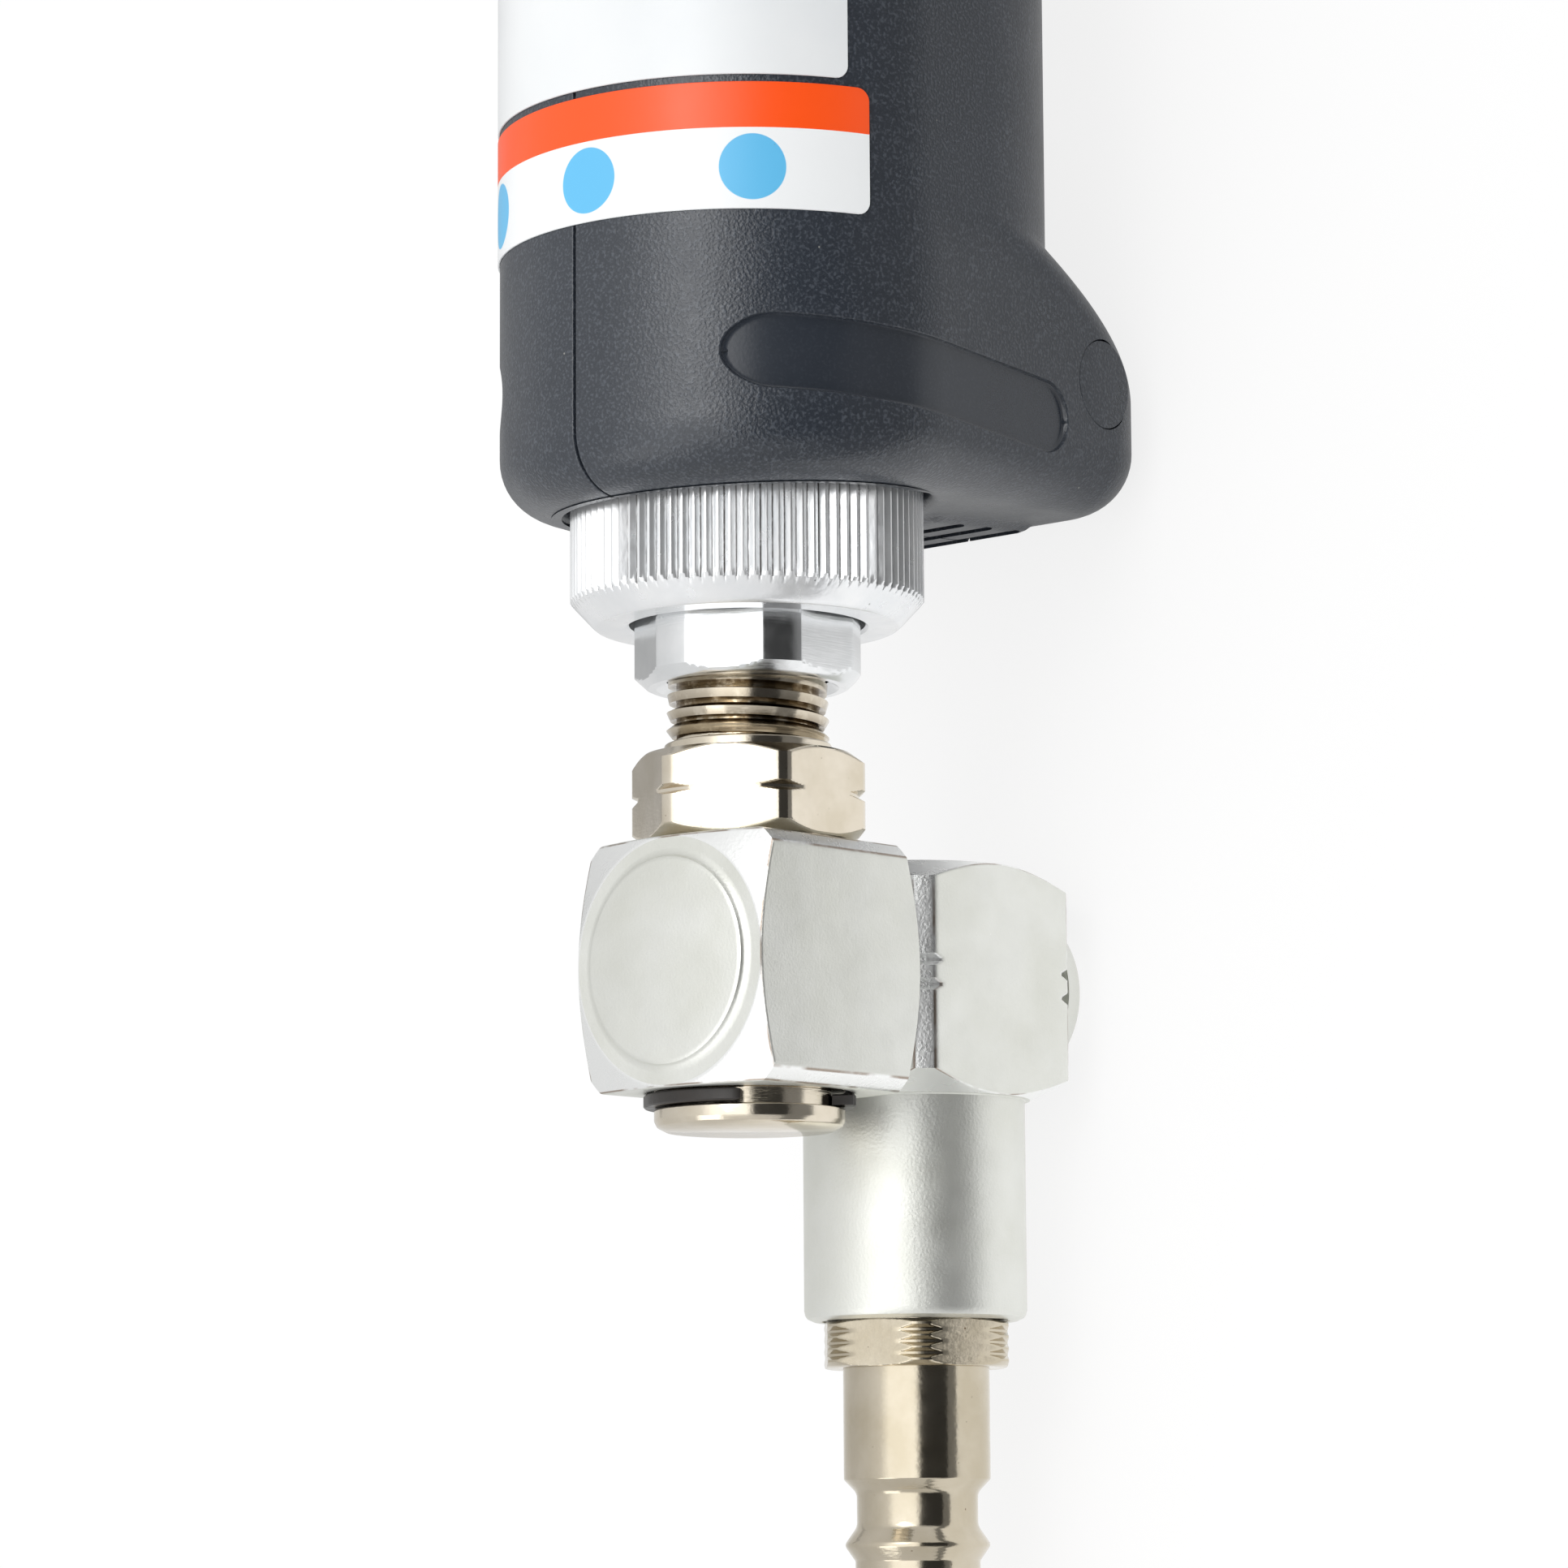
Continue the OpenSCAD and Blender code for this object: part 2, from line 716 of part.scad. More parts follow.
// Stem fixed to the tool: disc, clip groove, plain bearing, nut, neck and thread
module swivel_stem() {
    groove_r = clip_groove_d / 2;
    groove_start = stem_end + disc_t;
    thread_end = bushing_start + thread_in;
    turns = floor((thread_end - thread_start) / thread_pitch);
    color(nickel) place() difference() {
        union() {
            turned([
                [0, stem_end], [stem_r - 0.5, stem_end], [stem_r, stem_end + 0.5],
                [stem_r, groove_start], [groove_r, groove_start],
                [groove_r, groove_start + disc_gap + 0.1], [stem_r, groove_start + disc_gap + 0.1],
                [stem_r, nut_start + 0.5], [thread_r + 0.15, nut_start + 0.5],
                [thread_r + 0.15, thread_start],
                for (k = [0:turns - 1]) let (a = thread_start + k * thread_pitch)
                    each [[thread_root_r, a + 0.1], [thread_root_r, a + 0.25],
                        [thread_r, a + thread_pitch / 2 + 0.05], [thread_r, a + thread_pitch / 2 + 0.25]],
                [thread_root_r, thread_end], [0, thread_end]
            ]);
            intersection() {
                hex_bar(nut_af, nut_corner_r, nut_start, neck_start);
                turned([
                    [0, nut_start], [nut_corner_r - 0.7, nut_start], [nut_corner_r, nut_start + 0.8],
                    [nut_corner_r, nut_mid - 0.35], [nut_corner_r - 0.6, nut_mid],
                    [nut_corner_r, nut_mid + 0.35], [nut_corner_r, neck_start - 0.8],
                    [nut_corner_r - 0.7, neck_start], [0, neck_start]
                ]);
            }
        }
        bar(stem_bore_r, -chamber_w / 2, thread_end + cut);
        for (t = [0, 90]) radial(0, t, port_r, -stem_r - cut, stem_r + cut);
        for (a = ring_places)
            sleeve(stem_r + cut, stem_r - ring_groove_depth, a - ring_w / 2, a + ring_w / 2);
    }
}

// An open ring about the Z axis whose gap is centred on the X axis
module open_ring(gap_angle) {
    reach = 2 * clip_d;
    difference() {
        cylinder(r = clip_d / 2, h = clip_t, $fn = 64);
        translate([0, 0, -cut]) cylinder(r = clip_groove_d / 2 + 0.02, h = clip_t + 2 * cut, $fn = 64);
        translate([0, 0, -cut]) linear_extrude(clip_t + 2 * cut)
            polygon([[0, 0], [reach, -reach * tan(gap_angle / 2)], [reach, reach * tan(gap_angle / 2)]]);
    }
}

module stem_clip() {
    color(black) place() translate([-clip_mid - clip_t / 2, 0, 0]) rotate([0, 90, 0])
        rotate([0, 0, 180 + clip_turn]) open_ring(clip_gap_angle);
}

module stem_o_rings() {
    color(rubber) place() rotate([0, 90, 0]) for (a = ring_places)
        o_ring(stem_r + 0.02, stem_r - ring_groove_depth + 0.03, a);
}

// Swivel block turned from square bar, with the cross stem in one piece
module swivel_block() {
    corner_r = swivel_corner_d / 2;
    slope = tan(24);
    groove_r = clip_groove_d / 2;
    groove_start = cross_face - 0.1;
    color(satin) place() difference() {
        union() {
            intersection() {
                translate([-block_w / 2, -block_w / 2, -block_half]) cube([block_w, block_w, 2 * block_half]);
                down() rotate_extrude($fn = 96) polygon([
                    [0, -block_half], [block_w / 2, -block_half],
                    [corner_r, -block_half + (corner_r - block_w / 2) * slope],
                    [corner_r, block_half - (corner_r - block_w / 2) * slope],
                    [block_w / 2, block_half], [0, block_half]
                ]);
            }
            down() rotate_extrude($fn = 96) polygon([
                [0, -block_half - cap_disc_rise], [cap_disc_r - 0.3, -block_half - cap_disc_rise],
                [cap_disc_r, -block_half - cap_disc_rise + 0.3], [cap_disc_r + 0.5, -block_half + 0.3],
                [0, 0]
            ]);
            down() rotate_extrude($fn = 64) polygon([
                [0, 0], [stem_r, 0], [stem_r, groove_start], [groove_r, groove_start],
                [groove_r, cross_end - disc_t], [stem_r, cross_end - disc_t],
                [stem_r, cross_end - 0.5], [stem_r - 0.5, cross_end], [0, cross_end]
            ]);
        }
        bar(stem_r + run_fit, -block_w, block_w);
        bar(stem_r + chamber_depth, -chamber_w / 2, chamber_w / 2);
        bar(stem_r + 0.6, -block_w, -block_w / 2 + 0.5);
        down() cylinder(r = stem_bore_r, h = cross_drop + chamber_w / 2, $fn = 32);
        on_elbow_axis() {
            bar(port_r, -stem_r - cut, stem_r + cut, 32);
            rotate([0, 0, 90]) bar(port_r, -stem_r - cut, stem_r + cut, 32);
        }
        for (u = cross_ring_places) down() translate([0, 0, u - ring_w / 2]) difference() {
            cylinder(r = stem_r + 0.5, h = ring_w, $fn = 64);
            translate([0, 0, -cut]) cylinder(r = stem_r - ring_groove_depth, h = ring_w + 2 * cut, $fn = 64);
        }
    }
}

module cross_o_rings() {
    color(rubber) place() down() for (u = cross_ring_places)
        o_ring(stem_r + 0.02, stem_r - ring_groove_depth + 0.03, u);
}

module cross_clip() {
    color(black) place() down() translate([0, 0, cross_face + (disc_gap - clip_t) / 2])
        rotate([0, 0, 90]) open_ring(clip_gap_angle);
}

// Elbow block with its tube, on its own axis
module elbow_block() {
    corner_r = elbow_corner_d / 2;
    notch = 0.45;
    end_slope = 1.65;
    tube_r = tube_d / 2;
    color(satin) place() difference() {
        on_elbow_axis() union() {
            intersection() {
                translate([-block_half, -elbow_w / 2, -elbow_w / 2]) cube([2 * block_half, elbow_w, elbow_w]);
                turned([
                    [0, -block_half], [elbow_w / 2 - 0.2, -block_half], [corner_r, -block_half + end_slope],
                    [corner_r, -1 - notch], [corner_r - notch, -1], [corner_r, -1 + notch],
                    [corner_r, 1 - notch], [corner_r - notch, 1], [corner_r, 1 + notch],
                    [corner_r, block_half - end_slope], [elbow_w / 2 - 0.2, block_half], [0, block_half]
                ]);
            }
            turned([
                [0, -tube_len], [tube_r - 0.8, -tube_len], [tube_r - 0.25, -tube_len + 0.25],
                [tube_r, -tube_len + 0.9], [tube_r, -block_half + 1], [0, -block_half + 1]
            ]);
        }
        down() cylinder(r = stem_r + run_fit, h = 2 * cross_drop, $fn = 64);
        down() translate([0, 0, cross_drop - chamber_w / 2])
            cylinder(r = stem_r + chamber_depth, h = chamber_w, $fn = 64);
        on_elbow_axis() {
            bar(plug_shank_r + seat_fit, -tube_len - cut, -tube_len + plug_shank_len + 0.5);
            bar(plug_shank_r + 1.1, -tube_len - cut, -tube_len + seal_t + 0.1);
            bar(passage_r, -tube_len, 0);
        }
    }
}

module plug_seal() {
    color("white") place() on_elbow_axis()
        sleeve(plug_shank_r + 1.05, plug_shank_r + 0.05, -tube_len + 0.05, -tube_len + 0.05 + seal_t);
}

// Quick coupling plug: shank, hexagon, body, locking groove, ridge and tip
module plug_nipple() {
    top = -tube_len - 0.05;
    hex_end = top - plug_hex_len;
    body_r = plug_d / 2;
    tip_r = plug_tip_d / 2;
    neck_r = body_r - 1.05;
    hex_r = plug_af / 2 + 0.75;
    body_end = hex_end - 9;
    v = 0.42;
    color(nickel) place() on_elbow_axis() difference() {
        union() {
            turned([
                [0, part_back], [tip_r - 0.6, part_back], [tip_r, part_back + 1],
                [tip_r, body_end - 6.6], [tip_r + 0.1, body_end - 6.6], [body_r, body_end - 5.3],
                [neck_r, body_end - 3.8], [neck_r, body_end - 1.1], [body_r, body_end],
                [body_r, hex_end], [plug_shank_r, hex_end + 1], [plug_shank_r, top + plug_shank_len],
                [0, top + plug_shank_len]
            ]);
            intersection() {
                hex_bar(plug_af, hex_r, hex_end, top);
                turned([
                    [0, hex_end], [hex_r - 0.8, hex_end], [hex_r, hex_end + 0.5],
                    for (k = [0:2]) let (a = hex_end + 1 + k * 0.95)
                        each [[hex_r, a - v], [hex_r - v, a], [hex_r, a + v]],
                    [hex_r, top - 0.2], [hex_r - 0.2, top], [0, top]
                ]);
            }
        }
        bar(plug_bore_d / 2, part_back - cut, top + plug_shank_len + cut);
    }
}

// Valve block with the air way from the bushing past the throttle to the motor
module valve_block() {
    color(satin) place() difference() {
        bar(cavity_r - seat_fit, motor_start, valve_end, 96);
        bar(shank_r + seat_fit, motor_start - cut, shank_end + 0.2);
        bar(passage_r, shank_end, throttle_at);
        translate([throttle_at, 0, -cavity_r - cut])
            cylinder(r = throttle_bore_r, h = cavity_r + cut + throttle_top, $fn = 48);
        translate([throttle_at, 0, -throttle_seat - 5]) rotate([0, 90, 0])
            cylinder(r = port_r, h = valve_len, $fn = 32);
    }
}

module throttle_bushing() {
    color(brass) place() difference() {
        intersection() {
            translate([throttle_at, 0, -cavity_r])
                cylinder(r = throttle_bore_r - 0.03, h = cavity_r - throttle_seat, $fn = 48);
            bar(cavity_r - seat_fit, throttle_at - cavity_r, throttle_at + cavity_r, 96);
        }
        translate([throttle_at, 0, 0]) {
            translate([0, 0, -cavity_r]) cylinder(r = throttle_r + run_fit, h = cavity_r, $fn = 32);
            translate([0, 0, -throttle_seat - 8]) cylinder(r = throttle_head_r - 0.8, h = 9, $fn = 32);
            translate([0, 0, -throttle_seat - 5]) rotate([0, 90, 0])
                cylinder(r = port_r, h = 2 * throttle_bore_r, $fn = 32);
        }
    }
}

module throttle_stem() {
    head = -throttle_seat + 0.3;
    color(steel) place() translate([throttle_at, 0, 0]) {
        translate([0, 0, -throttle_tip]) cylinder(r = throttle_r, h = throttle_tip + head + cut, $fn = 32);
        translate([0, 0, head]) cylinder(r = throttle_head_r, h = throttle_head_t, $fn = 48);
    }
}

// A coil spring about the Z axis as one unbroken tube
module coil_spring(r, wire, height, turns) {
    sides = 6;
    steps = 8 * turns;
    points = [for (k = [0:steps]) let (t = 360 * turns * k / steps, z = wire / 2 + (height - wire) * k / steps)
        for (j = [0:sides - 1]) let (q = 360 * j / sides, e = r + wire / 2 * cos(q))
            [e * cos(t), e * sin(t), z + wire / 2 * sin(q)]];
    polyhedron(points, concat(
        [[for (j = [0:sides - 1]) j]],
        [for (k = [0:steps - 1], j = [0:sides - 1]) let (i = (j + 1) % sides)
            [k * sides + i, k * sides + j, (k + 1) * sides + j]],
        [for (k = [0:steps - 1], j = [0:sides - 1]) let (i = (j + 1) % sides)
            [k * sides + i, (k + 1) * sides + j, (k + 1) * sides + i]],
        [[for (j = [sides - 1:-1:0]) steps * sides + j]]
    ));
}

module throttle_spring() {
    low = -throttle_seat + 0.3 + throttle_head_t + 0.1;
    color(steel) place() translate([throttle_at, 0, low])
        coil_spring(spring_r, spring_wire, throttle_top - low - 0.1, spring_turns);
}

// Lever, drawn level about its pin and let down to its rest
module throttle_lever() {
    half = lever_t / 2;
    tip = 0.9;
    color(bright) place() translate([lever_pin_at[0], 0, -lever_pin_at[1]]) rotate([0, lever_angle, 0])
        difference() {
            union() {
                rotate([90, 0, 0]) cylinder(r = half + 0.7, h = lever_w, center = true, $fn = 48);
                translate([0, lever_w / 2, 0]) rotate([90, 0, 0]) linear_extrude(lever_w) polygon([
                    [0, half], [lever_len - 2, half], [lever_len, half - 1.2],
                    [lever_len, -half - tip + 1], [lever_len - 1.5, -half - tip],
                    [lever_len - 9, -half - tip], [lever_len - 16, -half], [0, -half]
                ]);
            }
            rotate([90, 0, 0])
                cylinder(r = lever_pin_r + run_fit, h = lever_w + 2 * cut, center = true, $fn = 32);
        }
}

module lever_pin() {
    color(steel) place()
        across(lever_pin_at[0], lever_pin_at[1], lever_pin_r, -lever_pin_half + 0.1, lever_pin_half - 0.1);
}

module cylinder_cap() {
    color(steel) place() sleeve(cavity_r - seat_fit, port_r + 0.5, valve_end, cylinder_start, 96);
}

module motor_cylinder() {
    color(steel) place() difference() {
        sleeve(cylinder_r, bore_r, cylinder_start, cylinder_end);
        for (k = [0:3]) radial((cylinder_start + cylinder_end) / 2, 45 + 90 * k, 1.6, 0, cylinder_r + cut);
    }
}

module rear_buffer() {
    color(rubber) place() sleeve(piston_r, port_r + 0.5, cylinder_start, cylinder_start + buffer_t);
}

module front_buffer() {
    color(rubber) place() sleeve(piston_r, ram_r + 0.5, front_buffer_start, front_buffer_end);
}

module piston_and_ram() {
    color(steel) place() difference() {
        union() {
            turned([
                [0, piston_start], [piston_r - 0.5, piston_start], [piston_r, piston_start + 0.5],
                [piston_r, piston_end - 0.5], [piston_r - 0.5, piston_end],
                [ram_r, piston_end], [ram_r, ram_end], [0, ram_end]
            ], 64);
        }
        for (a = piston_ring_at)
            sleeve(piston_r + cut, piston_r - 1, a, a + piston_ring_w + 0.1);
    }
}

module piston_rings() {
    color(brass) place() for (a = piston_ring_at)
        sleeve(piston_r + 0.02, piston_r - 0.95, a + 0.05, a + 0.05 + piston_ring_w);
}

// Bushing of the ram, with the neck that carries the front buffer inside the cylinder
module ram_bushing() {
    color(brass) place() difference() {
        union() {
            sleeve(cylinder_r, ram_r + run_fit, cylinder_end, guide_end);
            sleeve(piston_r, ram_r + run_fit, front_buffer_end, cylinder_end + cut);
        }
        bar(ram_r + 1.8, guide_end - 5, guide_end - 3);
    }
}

module ram_seal() {
    color(rubber) place() sleeve(ram_r + 1.75, ram_r + 0.03, guide_end - 4.9, guide_end - 3.1);
}

module exhaust_muffler() {
    color("gray") place()
        sleeve(cavity_r - 0.1, cylinder_r + 0.05, cylinder_start + 0.5, cylinder_end - 0.5);
}

// Nose with its spigot inside the grip and the pad that carries the shoe arm
module front_head() {
    shoulder = 3;
    base_r = grip_r - 0.8;
    drop = base_r - nose_tip_r;
    run = nose_len - shoulder - 1;
    color(satin) place() difference() {
        union() {
            bar(cavity_r - seat_fit, cylinder_end + 0.1, front_face + cut, 96);
            turned([
                [0, front_face + 0.1], [base_r, front_face + 0.1], [base_r, front_face + shoulder],
                for (t = [15:15:90])
                    [base_r - drop * (1 - cos(t)), front_face + shoulder + run * sin(t)],
                [nose_tip_r - 1, nose_end], [0, nose_end]
            ]);
            translate([arm_start - 2, -arm_w / 2, -pad_depth])
                cube([shoe_pad_end - arm_start + 2, arm_w, pad_depth - chuck_bore_r - 1.5]);
        }
        bar(cylinder_r + seat_fit, cylinder_end, guide_end + 0.1);
        bar(chuck_bore_r, guide_end, shoe_pad_end + cut);
        translate([front_face, -grip_r, -pad_depth - grip_r]) cube([2 * nose_len, 2 * grip_r, grip_r]);
        for (a = shoe_screw_at) translate([a, 0, -pad_depth - cut])
            cylinder(r = screw_r + 0.02, h = screw_in + cut, $fn = 32);
        for (side = [-1, 1])
            radial(head_screw_at, side * head_screw_angle, head_screw_r + 0.02, cavity_r - 5.5, grip_r);
    }
}

module head_screws() {
    color(steel) place() for (side = [-1, 1]) difference() {
        union() {
            radial(head_screw_at, side * head_screw_angle, head_screw_r, cavity_r - 5.4, grip_r - 1);
            radial(head_screw_at, side * head_screw_angle, head_screw_head_r,
                grip_r - head_screw_sink + 0.02, grip_r - 0.2);
        }
        radial(head_screw_at, side * head_screw_angle, head_screw_head_r * 0.5, grip_r - 1, grip_r + cut, 6);
    }
}

module blade_chuck() {
    color(steel) place() difference() {
        turned([
            [0, chuck_start], [chuck_r - 0.6, chuck_start], [chuck_r, chuck_start + 0.6],
            [chuck_r, chuck_end - 1], [chuck_r - 1, chuck_end], [0, chuck_end]
        ], 64);
        bar(ram_r + 0.02, chuck_start - cut, ram_end + 0.05);
        translate([blade_start - 0.1, -blade_t / 2 - 0.05, -blade_h / 2 - 0.05])
            cube([blade_in + cut + 0.1, blade_t + 0.1, blade_h + 0.1]);
        for (z = chuck_screw_z)
            across(chuck_screw_at, z, chuck_screw_r + 0.02, -chuck_r - cut, -blade_t / 2 - 0.02);
    }
}

module chuck_screws() {
    color(black) place() for (z = chuck_screw_z) difference() {
        across(chuck_screw_at, z, chuck_screw_r, -chuck_r + 1.4, -blade_t / 2 - 0.02);
        across(chuck_screw_at, z, chuck_screw_r * 0.55, -chuck_r, -chuck_r + 3.4, 6);
    }
}

// Blade with its teeth along the lower edge
module blade() {
    half = blade_h / 2;
    toothed = blade_len - blade_in - 6;
    teeth = floor(toothed / tooth_pitch);
    first = blade_end - 2 - teeth * tooth_pitch;
    color(steel) place() translate([0, blade_t / 2, 0]) rotate([90, 0, 0]) linear_extrude(blade_t)
        polygon([
            [blade_start, half], [blade_start, -half], [first, -half],
            for (k = [0:teeth - 1])
                each [[first + (k + 0.3) * tooth_pitch, -half + tooth_depth],
                    [first + (k + 1) * tooth_pitch, -half]],
            [blade_end, -half + 0.5], [blade_end - 3, half]
        ]);
}

module shoe_arm() {
    color(steel) place() difference() {
        union() {
            translate([arm_start, -arm_w / 2, -arm_low]) cube([arm_len, arm_w, shoe_t]);
            translate([arm_end - shoe_t, -arm_w / 2, -arm_low]) cube([shoe_t, arm_w, flange_h]);
        }
        for (a = shoe_screw_at) translate([a, 0, -arm_low - cut]) {
            for (side = [-1, 1]) translate([side * (arm_slot_len / 2 - arm_slot_r), 0, 0])
                cylinder(r = arm_slot_r, h = shoe_t + 2 * cut, $fn = 32);
            translate([-arm_slot_len / 2 + arm_slot_r, -arm_slot_r, 0])
                cube([arm_slot_len - 2 * arm_slot_r, 2 * arm_slot_r, shoe_t + 2 * cut]);
        }
        for (side = [-1, 1]) translate([0, side * rivet_half, -rivet_drop])
            bar(rivet_r + 0.02, arm_end - shoe_t - cut, arm_end + cut, 32);
    }
}

// A plate square to the tool axis with round corners
module rounded_plate(start, thick, half_w, low, high, r) {
    translate([start, 0, 0]) rotate([0, -90, 0]) mirror([0, 0, 1]) linear_extrude(thick) {
        translate([low + r, -half_w]) square([high - low - 2 * r, 2 * half_w]);
        translate([low, -half_w + r]) square([high - low, 2 * half_w - 2 * r]);
        for (z = [low + r, high - r], y = [-half_w + r, half_w - r]) translate([z, y]) circle(r = r, $fn = 48);
    }
}

module shoe_plate() {
    color(steel) place() difference() {
        rounded_plate(arm_end, shoe_t, shoe_w / 2, -heel_depth, shoe_top, 4);
        translate([arm_end - cut, -shoe_slot_w / 2, -blade_h / 2 - 1.5])
            cube([shoe_t + 2 * cut, shoe_slot_w, blade_h + shoe_top]);
        for (side = [-1, 1]) translate([0, side * rivet_half, -rivet_drop])
            bar(rivet_r + 0.02, arm_end - cut, shoe_front + cut, 32);
    }
}

module shoe_rivets() {
    color(steel) place() for (side = [-1, 1]) translate([0, side * rivet_half, -rivet_drop]) {
        bar(rivet_r, arm_end - shoe_t, shoe_front, 32);
        bar(rivet_r + 1.2, arm_end - shoe_t - 1, arm_end - shoe_t, 32);
    }
}

module shoe_screws() {
    head_top = arm_low + 0.05 + washer_t;
    color(black) place() for (a = shoe_screw_at) translate([a, 0, 0]) difference() {
        union() {
            translate([0, 0, -head_top]) cylinder(r = screw_r, h = head_top - pad_depth + screw_in - 0.3, $fn = 32);
            translate([0, 0, -head_top - screw_head_t]) cylinder(r = screw_head_r, h = screw_head_t, $fn = 48);
        }
        translate([0, 0, -head_top - screw_head_t - cut]) cylinder(r = screw_r * 0.8, h = cut + 1.4, $fn = 6);
    }
}

module shoe_washers() {
    color(steel) place() for (a = shoe_screw_at)
        translate([a, 0, -arm_low - 0.05 - washer_t]) difference() {
            cylinder(r = screw_head_r + 0.7, h = washer_t, $fn = 48);
            translate([0, 0, -cut]) cylinder(r = screw_r + 0.05, h = washer_t + 2 * cut, $fn = 32);
        }
}

housing_left();
housing_right();
type_label();
band_label();
screw_plugs();
housing_screws();
regulator_collar();
inlet_bushing();
inlet_screen();
bushing_o_ring();
swivel_stem();
stem_clip();
swivel_block();
stem_o_rings();
cross_o_rings();
elbow_block();
cross_clip();
plug_nipple();
plug_seal();
valve_block();
throttle_bushing();
throttle_stem();
throttle_spring();
throttle_lever();
lever_pin();
cylinder_cap();
motor_cylinder();  // cylinder
rear_buffer();
front_buffer();
piston_and_ram();
piston_rings();
ram_bushing();
ram_seal();
exhaust_muffler();
front_head();
head_screws();
blade_chuck();
chuck_screws();
blade();
shoe_arm();
shoe_plate();
shoe_rivets();
shoe_screws();
shoe_washers();
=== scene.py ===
# In-line air saw with a two-axis swivel inlet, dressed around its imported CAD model.
import math

import bpy
import bmesh
import numpy as np
from mathutils import Matrix, Vector


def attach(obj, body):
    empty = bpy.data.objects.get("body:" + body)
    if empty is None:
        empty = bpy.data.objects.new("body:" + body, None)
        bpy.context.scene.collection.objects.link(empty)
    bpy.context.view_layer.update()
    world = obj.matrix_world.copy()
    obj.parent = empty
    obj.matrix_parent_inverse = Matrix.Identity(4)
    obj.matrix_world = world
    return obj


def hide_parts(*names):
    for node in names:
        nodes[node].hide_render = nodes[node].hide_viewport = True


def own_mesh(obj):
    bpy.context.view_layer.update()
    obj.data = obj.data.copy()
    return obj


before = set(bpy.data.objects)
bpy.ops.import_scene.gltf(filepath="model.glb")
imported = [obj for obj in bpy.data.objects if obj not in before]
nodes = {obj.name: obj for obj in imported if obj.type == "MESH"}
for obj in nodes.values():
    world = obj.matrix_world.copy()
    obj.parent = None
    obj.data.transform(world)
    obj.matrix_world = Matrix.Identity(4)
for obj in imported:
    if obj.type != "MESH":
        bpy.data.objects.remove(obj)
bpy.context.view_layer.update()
scene = bpy.context.scene
print("stage: CAD frame loaded")

# Sizes are in millimetres: a runs along the tool from the swivel blocks, z up from the tool's axis.
middle = 111.5
axisHeight = 33.3
elbowDrop = 20.0
pi = math.pi


def toRow(points):  # millimetres on the tool's axis to metres in the row frame
    p = np.asarray(points, float).reshape(-1, 3)
    return (p + np.array([-middle, 0.0, axisHeight])) / 1000


def softMin(p, q, width):  # the lesser of two lengths, rounded where they cross
    h = np.clip(0.5 + 0.5 * (q - p) / width, 0, 1)
    return q * (1 - h) + p * h - width * h * (1 - h)


def fromPlace(place, *points):  # points of a profile, by their distance from a place
    return [(place + along, *rest) for along, *rest in points]


def rod(low, high, radius):  # the profile of a plain cylinder
    return [(low, 0), (low, radius), (high, radius), (high, 0)]


def ease(t):
    t = np.clip(t, 0, 1)
    return t * t * (3 - 2 * t)


def makeObject(name, verts, faces, place=True):
    mesh = bpy.data.meshes.new(name)
    rows = toRow(verts) if place else np.asarray(verts, float)
    mesh.from_pydata([tuple(v) for v in rows], [], faces)
    mesh.validate()
    obj = bpy.data.objects.new(name, mesh)
    scene.collection.objects.link(obj)
    return obj


def smoothEdges(obj, angle=32):
    obj.data.shade_smooth()
    obj.data.set_sharp_from_angle(angle=math.radians(angle))


def faceOut(obj, merge=0.0):
    b = bmesh.new()
    b.from_mesh(obj.data)
    if merge:
        bmesh.ops.remove_doubles(b, verts=b.verts, dist=merge / 1000)
    bmesh.ops.recalc_face_normals(b, faces=b.faces)
    b.to_mesh(obj.data)
    b.free()


def gridFaces(rows, cols, closeRows=False, closeCols=False):
    faces = []
    for i in range(rows if closeRows else rows - 1):
        for j in range(cols if closeCols else cols - 1):
            k, m = (i + 1) % rows, (j + 1) % cols
            faces.append((i * cols + j, i * cols + m, k * cols + m, k * cols + j))
    return faces


def loft(name, rings):  # closed rings of points, one behind the other
    rows, cols = len(rings), len(rings[0])
    faces = gridFaces(rows, cols, closeCols=True)
    faces.append(tuple(reversed(range(cols))))
    faces.append(tuple((rows - 1) * cols + j for j in range(cols)))
    obj = makeObject(name, np.concatenate(rings), faces)
    faceOut(obj)
    return obj


def turnPoints(places, radii, angles, drop=0.0, across=False):
    # rings about the tool's axis, or about the cross axis that points down
    rings = []
    for a, r in zip(places, radii):
        c, s = np.cos(angles), np.sin(angles)
        r = np.broadcast_to(r, angles.shape)
        along = np.full_like(angles, a)
        if across:
            rings.append(np.stack([r * c, r * s, -along], 1))
        else:
            rings.append(np.stack([along, -r * s, r * c - drop], 1))
    return rings


def roundedProfile(profile, fillet, steps=5):
    # a profile of (place, radius, own fillet or None) with its corners rounded
    out = []
    count = len(profile)
    for i, p in enumerate(profile):
        r = p[2] if len(p) > 2 and p[2] is not None else fillet
        if i in (0, count - 1) or r <= 0:
            out.append((p[0], p[1]))
            continue
        here = np.array(p[:2], float)
        back, on = np.array(profile[i - 1][:2], float) - here, np.array(profile[i + 1][:2], float) - here
        lb, lo = np.linalg.norm(back), np.linalg.norm(on)
        cosine = float(np.clip(back @ on / (lb * lo), -1, 1))
        turn = math.acos(cosine)
        if turn > pi - 0.02:
            out.append((p[0], p[1]))
            continue
        reach = min(r / math.tan(turn / 2), 0.48 * lb, 0.48 * lo)
        start, end = here + back / lb * reach, here + on / lo * reach
        for k in range(steps + 1):
            t = k / steps
            q = (1 - t) ** 2 * start + 2 * t * (1 - t) * here + t * t * end
            out.append((q[0], q[1]))
    return out


